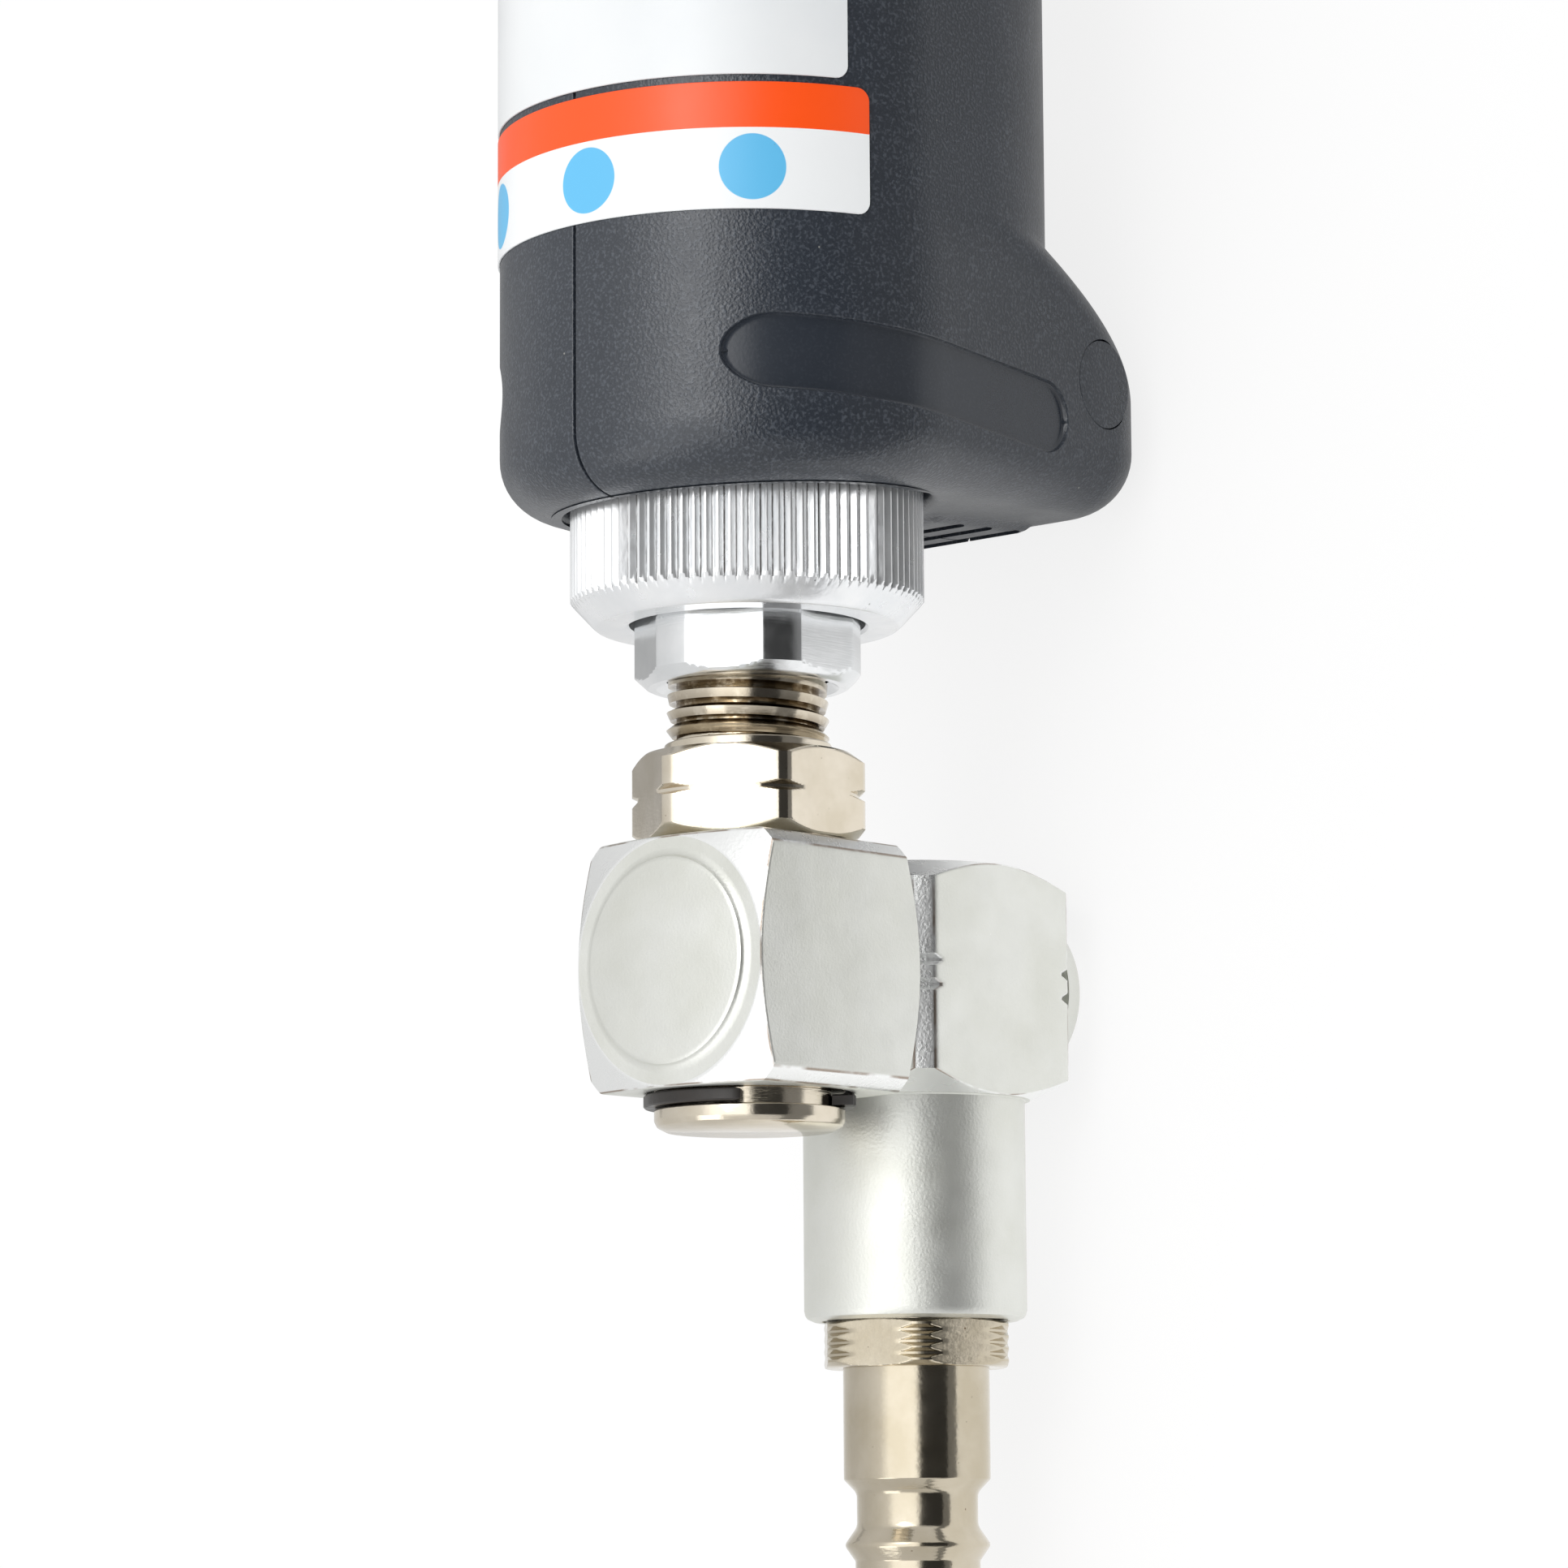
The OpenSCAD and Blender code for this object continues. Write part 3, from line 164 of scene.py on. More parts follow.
def turnedMesh(name, line, radii, angles, drop=0.0, across=False, bore=False, merge=1e-5):
    rings = turnPoints([a for a, r in line], radii, angles, drop, across)
    faces = gridFaces(len(rings), len(angles), closeRows=bore, closeCols=True)
    obj = makeObject(name, np.concatenate(rings), faces)
    faceOut(obj, merge)
    return obj


def turned(name, profile, fillet=0.15, segments=128, drop=0.0, across=False, bore=False):
    # a turned piece from (place, radius) pairs, which are a closed loop where it has a bore
    line = roundedProfile(profile + [profile[0]] if bore else profile, fillet, 4)
    if bore:
        line = line[:-1]
    angles = np.linspace(0, 2 * pi, segments, endpoint=False)
    obj = turnedMesh(name, line, [max(r, 0.0) for a, r in line], angles, drop, across, bore)
    smoothEdges(obj)
    return obj


def applyModifiers(obj):
    dg = bpy.context.evaluated_depsgraph_get()
    dg.update()
    mesh = bpy.data.meshes.new_from_object(obj.evaluated_get(dg))
    obj.modifiers.clear()
    old = obj.data
    obj.data = mesh
    mesh.name = obj.name
    if old.users == 0:
        bpy.data.meshes.remove(old)
    return obj


def cutWith(obj, cutters, operation="DIFFERENCE"):
    for c in cutters:
        m = obj.modifiers.new("cut", "BOOLEAN")
        m.operation = operation
        m.solver = "MANIFOLD"
        m.object = c
    applyModifiers(obj)
    for c in cutters:
        mesh = c.data
        bpy.data.objects.remove(c)
        bpy.data.meshes.remove(mesh)
    return obj


def joinAll(name, parts):  # several loose shells as one object
    verts, faces, offset = [], [], 0
    for part in parts:
        me = part.data
        verts += [tuple(v.co) for v in me.vertices]
        faces += [tuple(offset + i for i in f.vertices) for f in me.polygons]
        offset = len(verts)
        bpy.data.objects.remove(part)
        bpy.data.meshes.remove(me)
    return makeObject(name, verts, faces, place=False)


def finishPiece(obj, body, material, replaced=(), angle=32):
    smoothEdges(obj, angle)
    obj.data.materials.clear()
    obj.data.materials.append(material)
    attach(obj, body)
    if replaced:
        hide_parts(*replaced)
    return obj


def roundedBox(name, low, high, r, steps=4, axis="z"):
    # a prism with round corners seen along one axis
    order = {"x": (1, 2, 0), "y": (2, 0, 1), "z": (0, 1, 2)}[axis]
    u0, v0, w0 = (low[k] for k in order)
    u1, v1, w1 = (high[k] for k in order)
    ring = []
    corners = ((u1 - r, v1 - r, 0), (u0 + r, v1 - r, 90), (u0 + r, v0 + r, 180), (u1 - r, v0 + r, 270))
    for cu, cv, start in corners:
        for k in range(steps + 1):
            t = math.radians(start + 90 * k / steps)
            ring.append((cu + r * math.cos(t), cv + r * math.sin(t)))
    rings = []
    for w in (w0, w1):
        pts = np.zeros((len(ring), 3))
        pts[:, order[0]] = [p[0] for p in ring]
        pts[:, order[1]] = [p[1] for p in ring]
        pts[:, order[2]] = w
        rings.append(pts)
    return loft(name, rings)


def bevelled(obj, width, segments=3, angle=30):
    m = obj.modifiers.new("bevel", "BEVEL")
    m.width = width / 1000
    m.segments = segments
    m.limit_method = "ANGLE"
    m.angle_limit = math.radians(angle)
    m.use_clamp_overlap = True
    return applyModifiers(obj)


# Node trees
def addNode(tree, kind, entries=None, **values):  # properties by name, entries by name or number
    node = tree.nodes.new(kind)
    for key, value in values.items():
        setattr(node, key, value)
    for key, value in (entries or {}).items():
        feed(value, node.inputs[key])
    return node


def feed(value, entry):  # a wire is linked, a plain value is set
    if isinstance(value, Wire):
        entry.id_data.links.new(value.socket, entry)
    else:
        entry.default_value = value


class Wire:  # what comes out of a node, worked on by arithmetic that adds Math nodes
    def __init__(self, socket):
        self.socket = socket
        self.tree = socket.id_data

    def work(self, operation, other=0.0, swapped=False):
        pair = (other, self) if swapped else (self, other)
        node = addNode(self.tree, "ShaderNodeMath", dict(enumerate(pair)), operation=operation)
        return Wire(node.outputs[0])

    def __add__(self, other):
        return self.work("ADD", other)

    def __sub__(self, other):
        return self.work("SUBTRACT", other)

    def __rsub__(self, other):
        return self.work("SUBTRACT", other, swapped=True)

    def __mul__(self, other):
        return self.work("MULTIPLY", other)

    def __truediv__(self, other):
        return self.work("DIVIDE", other)

    def __abs__(self):
        return self.work("ABSOLUTE")

    def root(self):
        return self.work("SQRT")

    def atLeast(self, other):
        return self.work("MAXIMUM", other)

    def atMost(self, other):
        return self.work("MINIMUM", other)

    def above(self, other):
        return self.work("GREATER_THAN", other)

    def below(self, other):
        return self.work("LESS_THAN", other)

    def split(self):
        return [Wire(s) for s in addNode(self.tree, "ShaderNodeSeparateXYZ", {0: self}).outputs]

    def spread(self, low, high, newLow, newHigh):
        node = addNode(self.tree, "ShaderNodeMapRange", {
            "Value": self, "From Min": low, "From Max": high, "To Min": newLow, "To Max": newHigh})
        return Wire(node.outputs[0])

    def noise(self, scale, detail=3.0, rough=0.55, stretch=None):
        spot = self
        if stretch:
            node = addNode(self.tree, "ShaderNodeMapping", {"Vector": self, "Scale": stretch})
            spot = Wire(node.outputs[0])
        node = addNode(self.tree, "ShaderNodeTexNoise", {
            "Vector": spot, "Scale": scale, "Detail": detail, "Roughness": rough})
        return Wire(node.outputs["Fac"])

    def specks(self, scale, size, share):  # small round marks: near a cell's centre, in a share of the cells
        node = addNode(self.tree, "ShaderNodeTexVoronoi", {"Vector": self, "Scale": scale})
        near = Wire(node.outputs["Distance"]).spread(size * 0.55, size, 1.0, 0.0)
        chance = addNode(self.tree, "ShaderNodeSeparateColor", {0: Wire(node.outputs["Color"])}).outputs[0]
        return near * Wire(chance).below(share)

    def tones(self, low, high):  # from one colour to another
        node = addNode(self.tree, "ShaderNodeMix", {0: self, 6: low, 7: high}, data_type="RGBA")
        return Wire(node.outputs[2])

    def patches(self, look):  # two tones of one colour
        share = self.noise(look["patchScale"], 4.0).spread(0.35, 0.65, 0.0, 1.0)
        return share.tones(look["tint"], look["tintTwo"])


# Finishes
def tone(*levels):  # a colour as the eye reads it, 0 to 255, to the shader's linear values
    shares = [v / 255 for v in levels]
    return (*(v / 12.92 if v <= 0.04045 else ((v + 0.055) / 1.055) ** 2.4 for v in shares), 1.0)


def startMaterial(name, look):
    material = bpy.data.materials.new(name)
    material.use_nodes = True
    shader = material.node_tree.nodes["Principled BSDF"]
    for key, value in look.get("shader", {}).items():
        shader.inputs[key].default_value = value
    coords = Wire(addNode(material.node_tree, "ShaderNodeTexCoord").outputs["Object"])
    return material, shader, coords


def markOf(scale, size, share, depth, tint, patchy=None):  # specks, patchy where they come in groups
    return dict(scale=scale, size=size, share=share, depth=depth, tint=tint, patchy=patchy)


def grainOf(scale, depth, detail=2.0, stretch=None):  # a fine relief
    return dict(scale=scale, depth=depth, detail=detail, stretch=stretch)


def surfaceFinish(shader, coords, look, colour=None):
    # patches of two tones, specks, a roughness that varies and a fine grain
    colour = colour or coords.patches(look)
    for mark in look.get("marks", ()):
        share = coords.specks(mark["scale"], mark["size"], mark["share"]) * mark["depth"]
        if mark["patchy"]:
            share = share * coords.noise(mark["patchy"], 2.0).spread(0.5, 0.62, 0.0, 1.0)
        colour = share.tones(colour, mark["tint"])
    feed(colour, shader.inputs["Base Color"])
    rough = coords.noise(look["patchScale"] * 2.3, 3.0).spread(0.3, 0.7, *look["rough"])
    feed(rough, shader.inputs["Roughness"])
    for grain in look["grain"]:
        fac = coords.noise(grain["scale"], grain["detail"], 0.5, grain["stretch"])
        entries = {"Strength": 1.0, "Distance": grain["depth"], "Height": fac}
        if grain is not look["grain"][0]:
            entries["Normal"] = height
        height = Wire(addNode(coords.tree, "ShaderNodeBump", entries).outputs[0])
    feed(height, shader.inputs["Normal"])
    return rough


def plainFinish(name, **look):
    material, shader, coords = startMaterial(name, look)
    surfaceFinish(shader, coords, look)
    return material


metal = {"Metallic": 1.0}


def gripFinish(look):  # fine moulded grain, left smooth on the floor of the side panel, with the grain's high points painted lighter as a painted sparkle highlight
    material, shader, coords = startMaterial("gripPlastic", look)
    x, y, z = coords.split()
    z = z - axisHeight / 1000
    held = z.atLeast(look["panelLow"]).atMost(look["panelTop"])
    along = x - held * look["panelLean"] - look["panelPlace"]
    over = z - held
    away = (along * along + over * over).root()
    grained = away.spread(look["panelHalf"] - 0.0001, look["panelHalf"], 0.12, 1.0)
    # the grain's high points are painted lighter: a painted sparkle highlight
    paintedSparkle = coords.noise(look["grain"][0]["scale"], 1.0, 0.5).spread(0.5, 0.7, 0.0, 0.4) * grained
    rough = surfaceFinish(shader, coords, look, paintedSparkle.tones(coords.patches(look), look["paintedSparkleTint"]))
    for node in coords.tree.nodes:
        if node.type == "BUMP":
            feed(grained, node.inputs["Strength"])
    feed(rough * grained.spread(0.12, 1.0, 0.8, 1.0), shader.inputs["Roughness"])
    return material


# the lighter tone on the grain's high points is a painted sparkle highlight
gripPlastic = gripFinish(dict(
    tint=tone(42, 47, 55), tintTwo=tone(46, 51, 59), paintedSparkleTint=tone(96, 102, 111), patchScale=90,
    rough=(0.26, 0.34), shader={"Specular IOR Level": 0.62},
    grain=[grainOf(4000, 0.00005, 1.0)],
    marks=[
        markOf(420, 0.045, 0.12, 0.55, tone(180, 178, 170)),
        markOf(1100, 0.08, 0.05, 0.35, tone(140, 142, 146), patchy=60),
    ],
    panelPlace=(45.7 - middle) / 1000, panelLean=0.046, panelHalf=0.003, panelTop=0.013, panelLow=-0.016,
))
labelWhite = plainFinish(
    "labelWhite", tint=tone(232, 234, 235), tintTwo=tone(227, 230, 232), patchScale=60, rough=(0.28, 0.36),
    grain=[grainOf(1500, 0.000006)],
    marks=[markOf(900, 0.06, 0.02, 0.4, tone(120, 120, 118))],
)
brightAluminium = plainFinish(
    "brightAluminium", shader=metal, tint=tone(237, 238, 239), tintTwo=tone(228, 230, 231), patchScale=300,
    rough=(0.14, 0.24),
    grain=[grainOf(500, 0.000008, 4.0, (14, 1, 1))],
    marks=[markOf(700, 0.09, 0.04, 0.6, tone(150, 150, 150))],
)
satinLook = dict(
    shader={"Metallic": 0.86}, tint=tone(229, 230, 225), tintTwo=tone(222, 223, 216), patchScale=140,
    rough=(0.4, 0.48),
    grain=[grainOf(4200, 0.00002), grainOf(1400, 0.00001)],
    marks=[
        markOf(330, 0.05, 0.07, 0.75, tone(112, 98, 78)),
        markOf(620, 0.06, 0.1, 0.5, tone(245, 245, 242)),
    ],
)
satinAluminium = plainFinish("satinAluminium", **satinLook)
nickelLook = dict(
    shader=metal, tint=tone(222, 213, 197), tintTwo=tone(210, 200, 181), patchScale=230,
    rough=(0.11, 0.2),
    grain=[grainOf(900, 0.00001, stretch=(6, 1, 1)), grainOf(2600, 0.000006)],
    marks=[
        markOf(900, 0.09, 0.16, 0.85, tone(96, 66, 36), patchy=210),
        markOf(1500, 0.1, 0.08, 0.5, tone(70, 58, 44)),
    ],
)
plugLook = dict(nickelLook, tint=tone(200, 191, 173), tintTwo=tone(189, 179, 158))
nickelPlate = plainFinish("nickelPlate", **plugLook)
blackSpring = plainFinish(
    "blackSpring", tint=tone(34, 31, 29), tintTwo=tone(44, 39, 35), patchScale=400, rough=(0.3, 0.42),
    grain=[grainOf(2400, 0.00001)],
)
machinedSteel = plainFinish(
    "machinedSteel", shader=metal, tint=tone(196, 198, 201), tintTwo=tone(184, 187, 190), patchScale=220,
    rough=(0.2, 0.32), grain=[grainOf(700, 0.000008, stretch=(9, 1, 1))],
    marks=[markOf(900, 0.08, 0.05, 0.5, tone(110, 104, 96))],
)
zincSteel = plainFinish(
    "zincSteel", shader=metal, tint=tone(204, 206, 208), tintTwo=tone(188, 191, 196), patchScale=120,
    rough=(0.26, 0.38), grain=[grainOf(1800, 0.00001), grainOf(260, 0.00001)],
    marks=[markOf(600, 0.07, 0.05, 0.5, tone(120, 112, 100))],
)
blackScrew = plainFinish(
    "blackScrew", tint=tone(40, 40, 42), tintTwo=tone(52, 52, 54), patchScale=500, rough=(0.32, 0.45),
    grain=[grainOf(2600, 0.000012)],
)
bronze = plainFinish(
    "bronze", shader=metal, tint=tone(196, 160, 98), tintTwo=tone(182, 146, 86), patchScale=200,
    rough=(0.25, 0.38), grain=[grainOf(900, 0.00001, stretch=(8, 1, 1))],
)
blackRubber = plainFinish(
    "blackRubber", tint=tone(30, 30, 31), tintTwo=tone(38, 38, 39), patchScale=300, rough=(0.6, 0.75),
    grain=[grainOf(2200, 0.00002)],
)
whiteSeal = plainFinish(
    "whiteSeal", tint=tone(228, 226, 220), tintTwo=tone(218, 215, 207), patchScale=300, rough=(0.35, 0.5),
    grain=[grainOf(1800, 0.00001)],
)
greyFelt = plainFinish(
    "greyFelt", tint=tone(120, 118, 112), tintTwo=tone(146, 143, 136), patchScale=900, rough=(0.9, 1.0),
    grain=[grainOf(2500, 0.0001, 6.0)],
)


blockLook = dict(
    satinLook, turnedTint=tone(243, 244, 243), wearTint=tone(120, 92, 62), wearInset=0.00013,
    wearFrom=0.00003, wearTo=0.00009, edgeFrom=0.00012, edgeTo=0.00004, polish=0.16,
)


def blockFinish(name, axes, centres, flats):
    # blasted flats, brighter turned surfaces beyond them, and a thin brown line of wear between the two
    look = blockLook
    material, shader, coords = startMaterial(name, look)
    axisWires = coords.split()
    one, other = (abs(axisWires[axis] - centre) for axis, centre in zip(axes, centres))
    reach = one.atLeast(other)
    beyond = (one * one + other * other).root().above(flats * 0.985)
    turnedShare = reach.spread(flats - look["edgeFrom"], flats - look["edgeTo"], 1.0, 0.0) * beyond
    colour = turnedShare.tones(coords.patches(look), look["turnedTint"])
    worn = abs(reach - (flats - look["wearInset"])).spread(look["wearFrom"], look["wearTo"], 1.0, 0.0)
    worn = worn * coords.noise(230, 3.0).spread(0.42, 0.55, 0.0, 0.75)
    rough = surfaceFinish(shader, coords, look, worn.tones(colour, look["wearTint"]))
    feed(rough - turnedShare * look["polish"], shader.inputs["Roughness"])
    return material


swivelAluminium = blockFinish("swivelAluminium", (0, 1), (-middle / 1000, 0.0), 0.01)
elbowAluminium = blockFinish("elbowAluminium", (1, 2), (0.0, (axisHeight - elbowDrop) / 1000), 0.00975)


def grooveFinish(name, look):  # bright tooth tops, with a darker tone laid in the grooves between them: painted shade, along with grime
    material, shader, coords = startMaterial(name, look)
    x, y, z = coords.split()
    z = z - axisHeight / 1000
    depth = look["rim"] - (y * y + z * z).root()
    # darker the deeper below the rim: painted shade in the grooves, along with grime
    groove = depth.spread(look["shadeAndDirtFrom"], look["shadeAndDirtTo"], look["crestShadeAndDirt"], 1.0)
    groove = groove * x.above(look["teethStart"])
    groove = groove * coords.noise(900, 3.0).spread(0.3, 0.5, 0.35, 1.0)
    surfaceFinish(shader, coords, look, groove.tones(coords.patches(look), look["grooveShadeAndDirt"]))
    return material


# the dark tone in the knurl's grooves is painted shade
knurledAluminium = grooveFinish("knurledAluminium", dict(
    shader={"Metallic": 0.7}, tint=tone(243, 244, 245), tintTwo=tone(236, 238, 240), grooveShadeAndDirt=tone(84, 80, 75),
    patchScale=300, rim=0.01435, shadeAndDirtFrom=0.00036, shadeAndDirtTo=0.00046, teethStart=(29.5 - middle) / 1000,
    rough=(0.18, 0.28), crestShadeAndDirt=0.0,
    grain=[
        grainOf(700, 0.000012, 4.0, (1, 3, 3)),
        grainOf(2500, 0.000008),
    ],
    marks=[markOf(900, 0.09, 0.08, 0.7, tone(90, 88, 86))],
))
# the brown tone strengthens below the thread's rim and lies thinly on the rest
stemNickel = grooveFinish("stemNickel", dict(
    nickelLook, rim=0.00658, shadeAndDirtFrom=0.0001, shadeAndDirtTo=0.0006, crestShadeAndDirt=0.2, teethStart=(18.5 - middle) / 1000,
    grooveShadeAndDirt=tone(116, 100, 76),
))


def bladeFinish(look):  # brushed sides, with the toothed edge ground bright
    material, shader, coords = startMaterial("bladeSteel", look)
    ground = coords.split()[2].spread(look["groundFrom"], look["groundTo"], 1.0, 0.0)
    body = coords.noise(90, 4.0).spread(0.3, 0.7, 0.0, 1.0).tones(look["tint"], look["tintTwo"])
    surfaceFinish(shader, coords, look, ground.tones(body, look["groundTint"]))
    return material


bladeSteel = bladeFinish(dict(
    shader=metal, tint=tone(178, 180, 184), tintTwo=tone(164, 166, 171), groundTint=tone(214, 215, 217),
    groundFrom=0.0285, groundTo=0.0292, patchScale=150, rough=(0.24, 0.36),
    grain=[grainOf(420, 0.00001, 4.0, (1, 12, 12))],
))


def bandFinish(look):  # white label with a colour band and three plain discs, laid out on its own UV map
    material, shader, coords = startMaterial("bandLabel", look)
    along, place, _ = Wire(addNode(coords.tree, "ShaderNodeUVMap", uv_map="label").outputs[0]).split()
    colour = place.above(look["bandFrom"]).tones(look["white"], look["band"])
    radius, soft = look["discRadius"], look["discSoft"]
    for at in look["discs"]:
        dx, dy = along - at, place - look["discPlace"]
        inside = (dx * dx + dy * dy).root().spread(radius - soft, radius + soft, 1.0, 0.0)
        colour = inside.tones(colour, look["disc"])
    surfaceFinish(shader, coords, look, colour)
    return material


bandLook = dict(
    white=tone(240, 242, 243), band=tone(255, 84, 16), disc=tone(98, 187, 233), bandFrom=6.5,
    discs=(-14.0, 0.0, 14.0), discPlace=3.35, discRadius=2.65, discSoft=0.03,
    patchScale=60, rough=(0.3, 0.38),
    grain=[grainOf(1500, 0.000006)],
    marks=[markOf(900, 0.06, 0.02, 0.4, tone(120, 120, 118))],
)
bandLabelFinish = bandFinish(bandLook)
print("stage: finishes made")


# Grip housing: two half shells, each one closed loop of stations swept from the top to the bottom
grip = dict(
    rear=37.3, front=172.3, radius=20.0, lowRadius=18.5, depth=26.0, heelHalfWidth=17.5, heelDepth=33.3,
    heelCorner=8.0, heelPeak=47.0, heelRamp=12.4, heelEase=2.05, rearEdge=5.0, frontEdge=1.5,
    slant=0.065, slantRun=18.0, partingGap=0.2, partingEdge=0.18, recess=14.75, recessEnd=42.6, rimRound=1.1,
    bulkheadEnd=45.0, shankHole=8.4, cavity=16.5,
)
panel = dict(
    place=45.7, lean=0.046, half=3.0, top=13.0, low=-16.0,
    wall=((-0.34, -0.45), (-0.2, -0.44), (-0.1, -0.39), (-0.04, -0.3), (0.0, -0.12), (0.02, -0.06),
          (0.14, 0.05), (0.9, 1.0)),
)
louvres = dict(
    depths=(19.8, 23.4, 27.0), halfLength=6.0, halfWidth=0.8, corner=0.7, padDepth=22.6, padHalf=7.2,
    padEdge=1.6, padRise=0.5,
)
gripHoles = dict(
    slotLow=(63.3, -7.4, -36), slotHigh=(156.3, 7.4, -20.2), slotCorner=2.5, slotEdge=0.5,
    screwPlaces=(59.3, 108.3, 142.3, 162.3), screwSeat=11.0, screwDepth=18.35, screwBore=2.4,
    nosePlace=168.3, noseTurn=60, noseSeat=18.4, noseBore=2.7,
)
sidePlug = dict(place=49.0, depth=24.5, radius=3.68, bore=3.75)


def turnedAlong(name, profile, origin, direction, fillet=0.15, segments=48, bore=False):
    # a turned piece whose own axis starts at a point and runs along a direction
    obj = turned(name, profile, fillet, segments, bore=bore)
    turn = Vector((1, 0, 0)).rotation_difference(Vector(direction)).to_matrix().to_4x4()
    start = Vector(toRow([[0, 0, 0]])[0])
    obj.data.transform(Matrix.Translation(Vector(toRow([origin])[0])) @ turn @ Matrix.Translation(-start))
    return obj


def beforeRamp(place, run):  # 1 at the heel, falling to 0 where its ramp ends
    return np.clip((grip["heelPeak"] + grip["heelRamp"] - place) / run, 0, 1)


def gripSection(place):  # half width, depth and lower corner at a place
    share = 1 - (1 - beforeRamp(place, grip["heelRamp"])) ** grip["heelEase"]
    ends = (("radius", "heelHalfWidth"), ("depth", "heelDepth"), ("lowRadius", "heelCorner"))
    return [grip[front] + (grip[heel] - grip[front]) * share for front, heel in ends]


def flatTurn(x, z, corner):  # the angle where the upper arc meets the flat side
    return pi - math.atan2(x, z) - math.acos(min(1.0, (grip["radius"] - corner) / math.hypot(x, z)))


def gripHalfRing(place, inset, gap):
    # (y, z) from the top to the bottom: upper arc, flat side, lower arc, flat bottom
    w, u, c = gripSection(place)
    big = grip["radius"]
    x, z = w - c, u - c
    turn = flatTurn(x, z, c)
    fine = np.array([1.0, 1.15, 1.35, 1.6, 2.0, 2.6, 3.6, 5.0]) * gap
    first = fine / big
    t1 = np.concatenate([first, np.linspace(first[-1], turn, 98)[1:]])
    r, q = big - inset, c - inset
    upper = np.stack([r * np.sin(t1), r * np.cos(t1)], 1)
    t2 = turn + (pi - turn) * np.linspace(0, 1, 40)
    lower = np.stack([x + q * np.sin(t2), -z + q * np.cos(t2)], 1)
    side = np.linspace(upper[-1], lower[0], 82)[1:-1]
    flatY = np.concatenate([np.linspace(x, fine[-1], 12)[1:], fine[::-1][1:]])
    bottom = np.stack([flatY, np.full(len(flatY), -z - q)], 1)
    return np.concatenate([upper, side, lower, bottom])


def skinAt(at, z):  # a point of the grip's side, and the way square to it
    place = at
    for _ in range(8):
        place = at + grip["slant"] * beforeRamp(place, grip["slantRun"]) * z
    ring = gripHalfRing(place, 0.0, grip["partingGap"] / 2)[12:-16]
    y = np.interp(-z, -ring[:, 1], ring[:, 0])
    dy = np.interp(-z + 0.5, -ring[:, 1], ring[:, 0]) - np.interp(-z - 0.5, -ring[:, 1], ring[:, 0])
    return y, 1 / math.hypot(1, dy), dy / math.hypot(1, dy)


def panelCutter(side):  # the sunk side panel: a long oval that follows the grip's skin
    spine = [(panel["top"], t) for t in np.linspace(88, 0, 16)]
    spine += [(z, 0.0) for z in np.linspace(panel["top"], panel["low"], 62)[1:-1]]
    spine += [(panel["low"], -t) for t in np.linspace(0, 88, 16)]
    rings = []
    for middleZ, degrees in spine:
        t = math.radians(degrees)
        line = [(share, *panel["wall"][0]) for share in np.linspace(-0.94, 0.94, 13)]
        line += [(1.0, wide, high) for wide, high in panel["wall"]]
        line += [(share, *panel["wall"][-1]) for share in np.linspace(0.94, -0.94, 13)]
        line += [(-1.0, wide, high) for wide, high in reversed(panel["wall"])]
        ring = []
        for share, wide, high in line:
            reach = panel["half"] + wide
            z = middleZ + reach * math.sin(t)
            at = panel["place"] + panel["lean"] * middleZ + share * reach * math.cos(t)
            y, outY, outZ = skinAt(at, z)
            ring.append((at, side * (y + outY * high), z + outZ * high))
        rings.append(np.array(ring))
    return loft("panel", rings)


def padHeight(y, z):  # the low pad on the rear face that the louvres open through
    v = louvres
    dy = np.maximum(np.abs(y) - v["halfLength"] - 1.2 + v["padEdge"], 0)
    dz = np.maximum(np.abs(-z - v["padDepth"]) - v["padHalf"] + v["padEdge"], 0)
    return v["padRise"] * ease((v["padEdge"] - np.hypot(dy, dz)) / v["padEdge"])


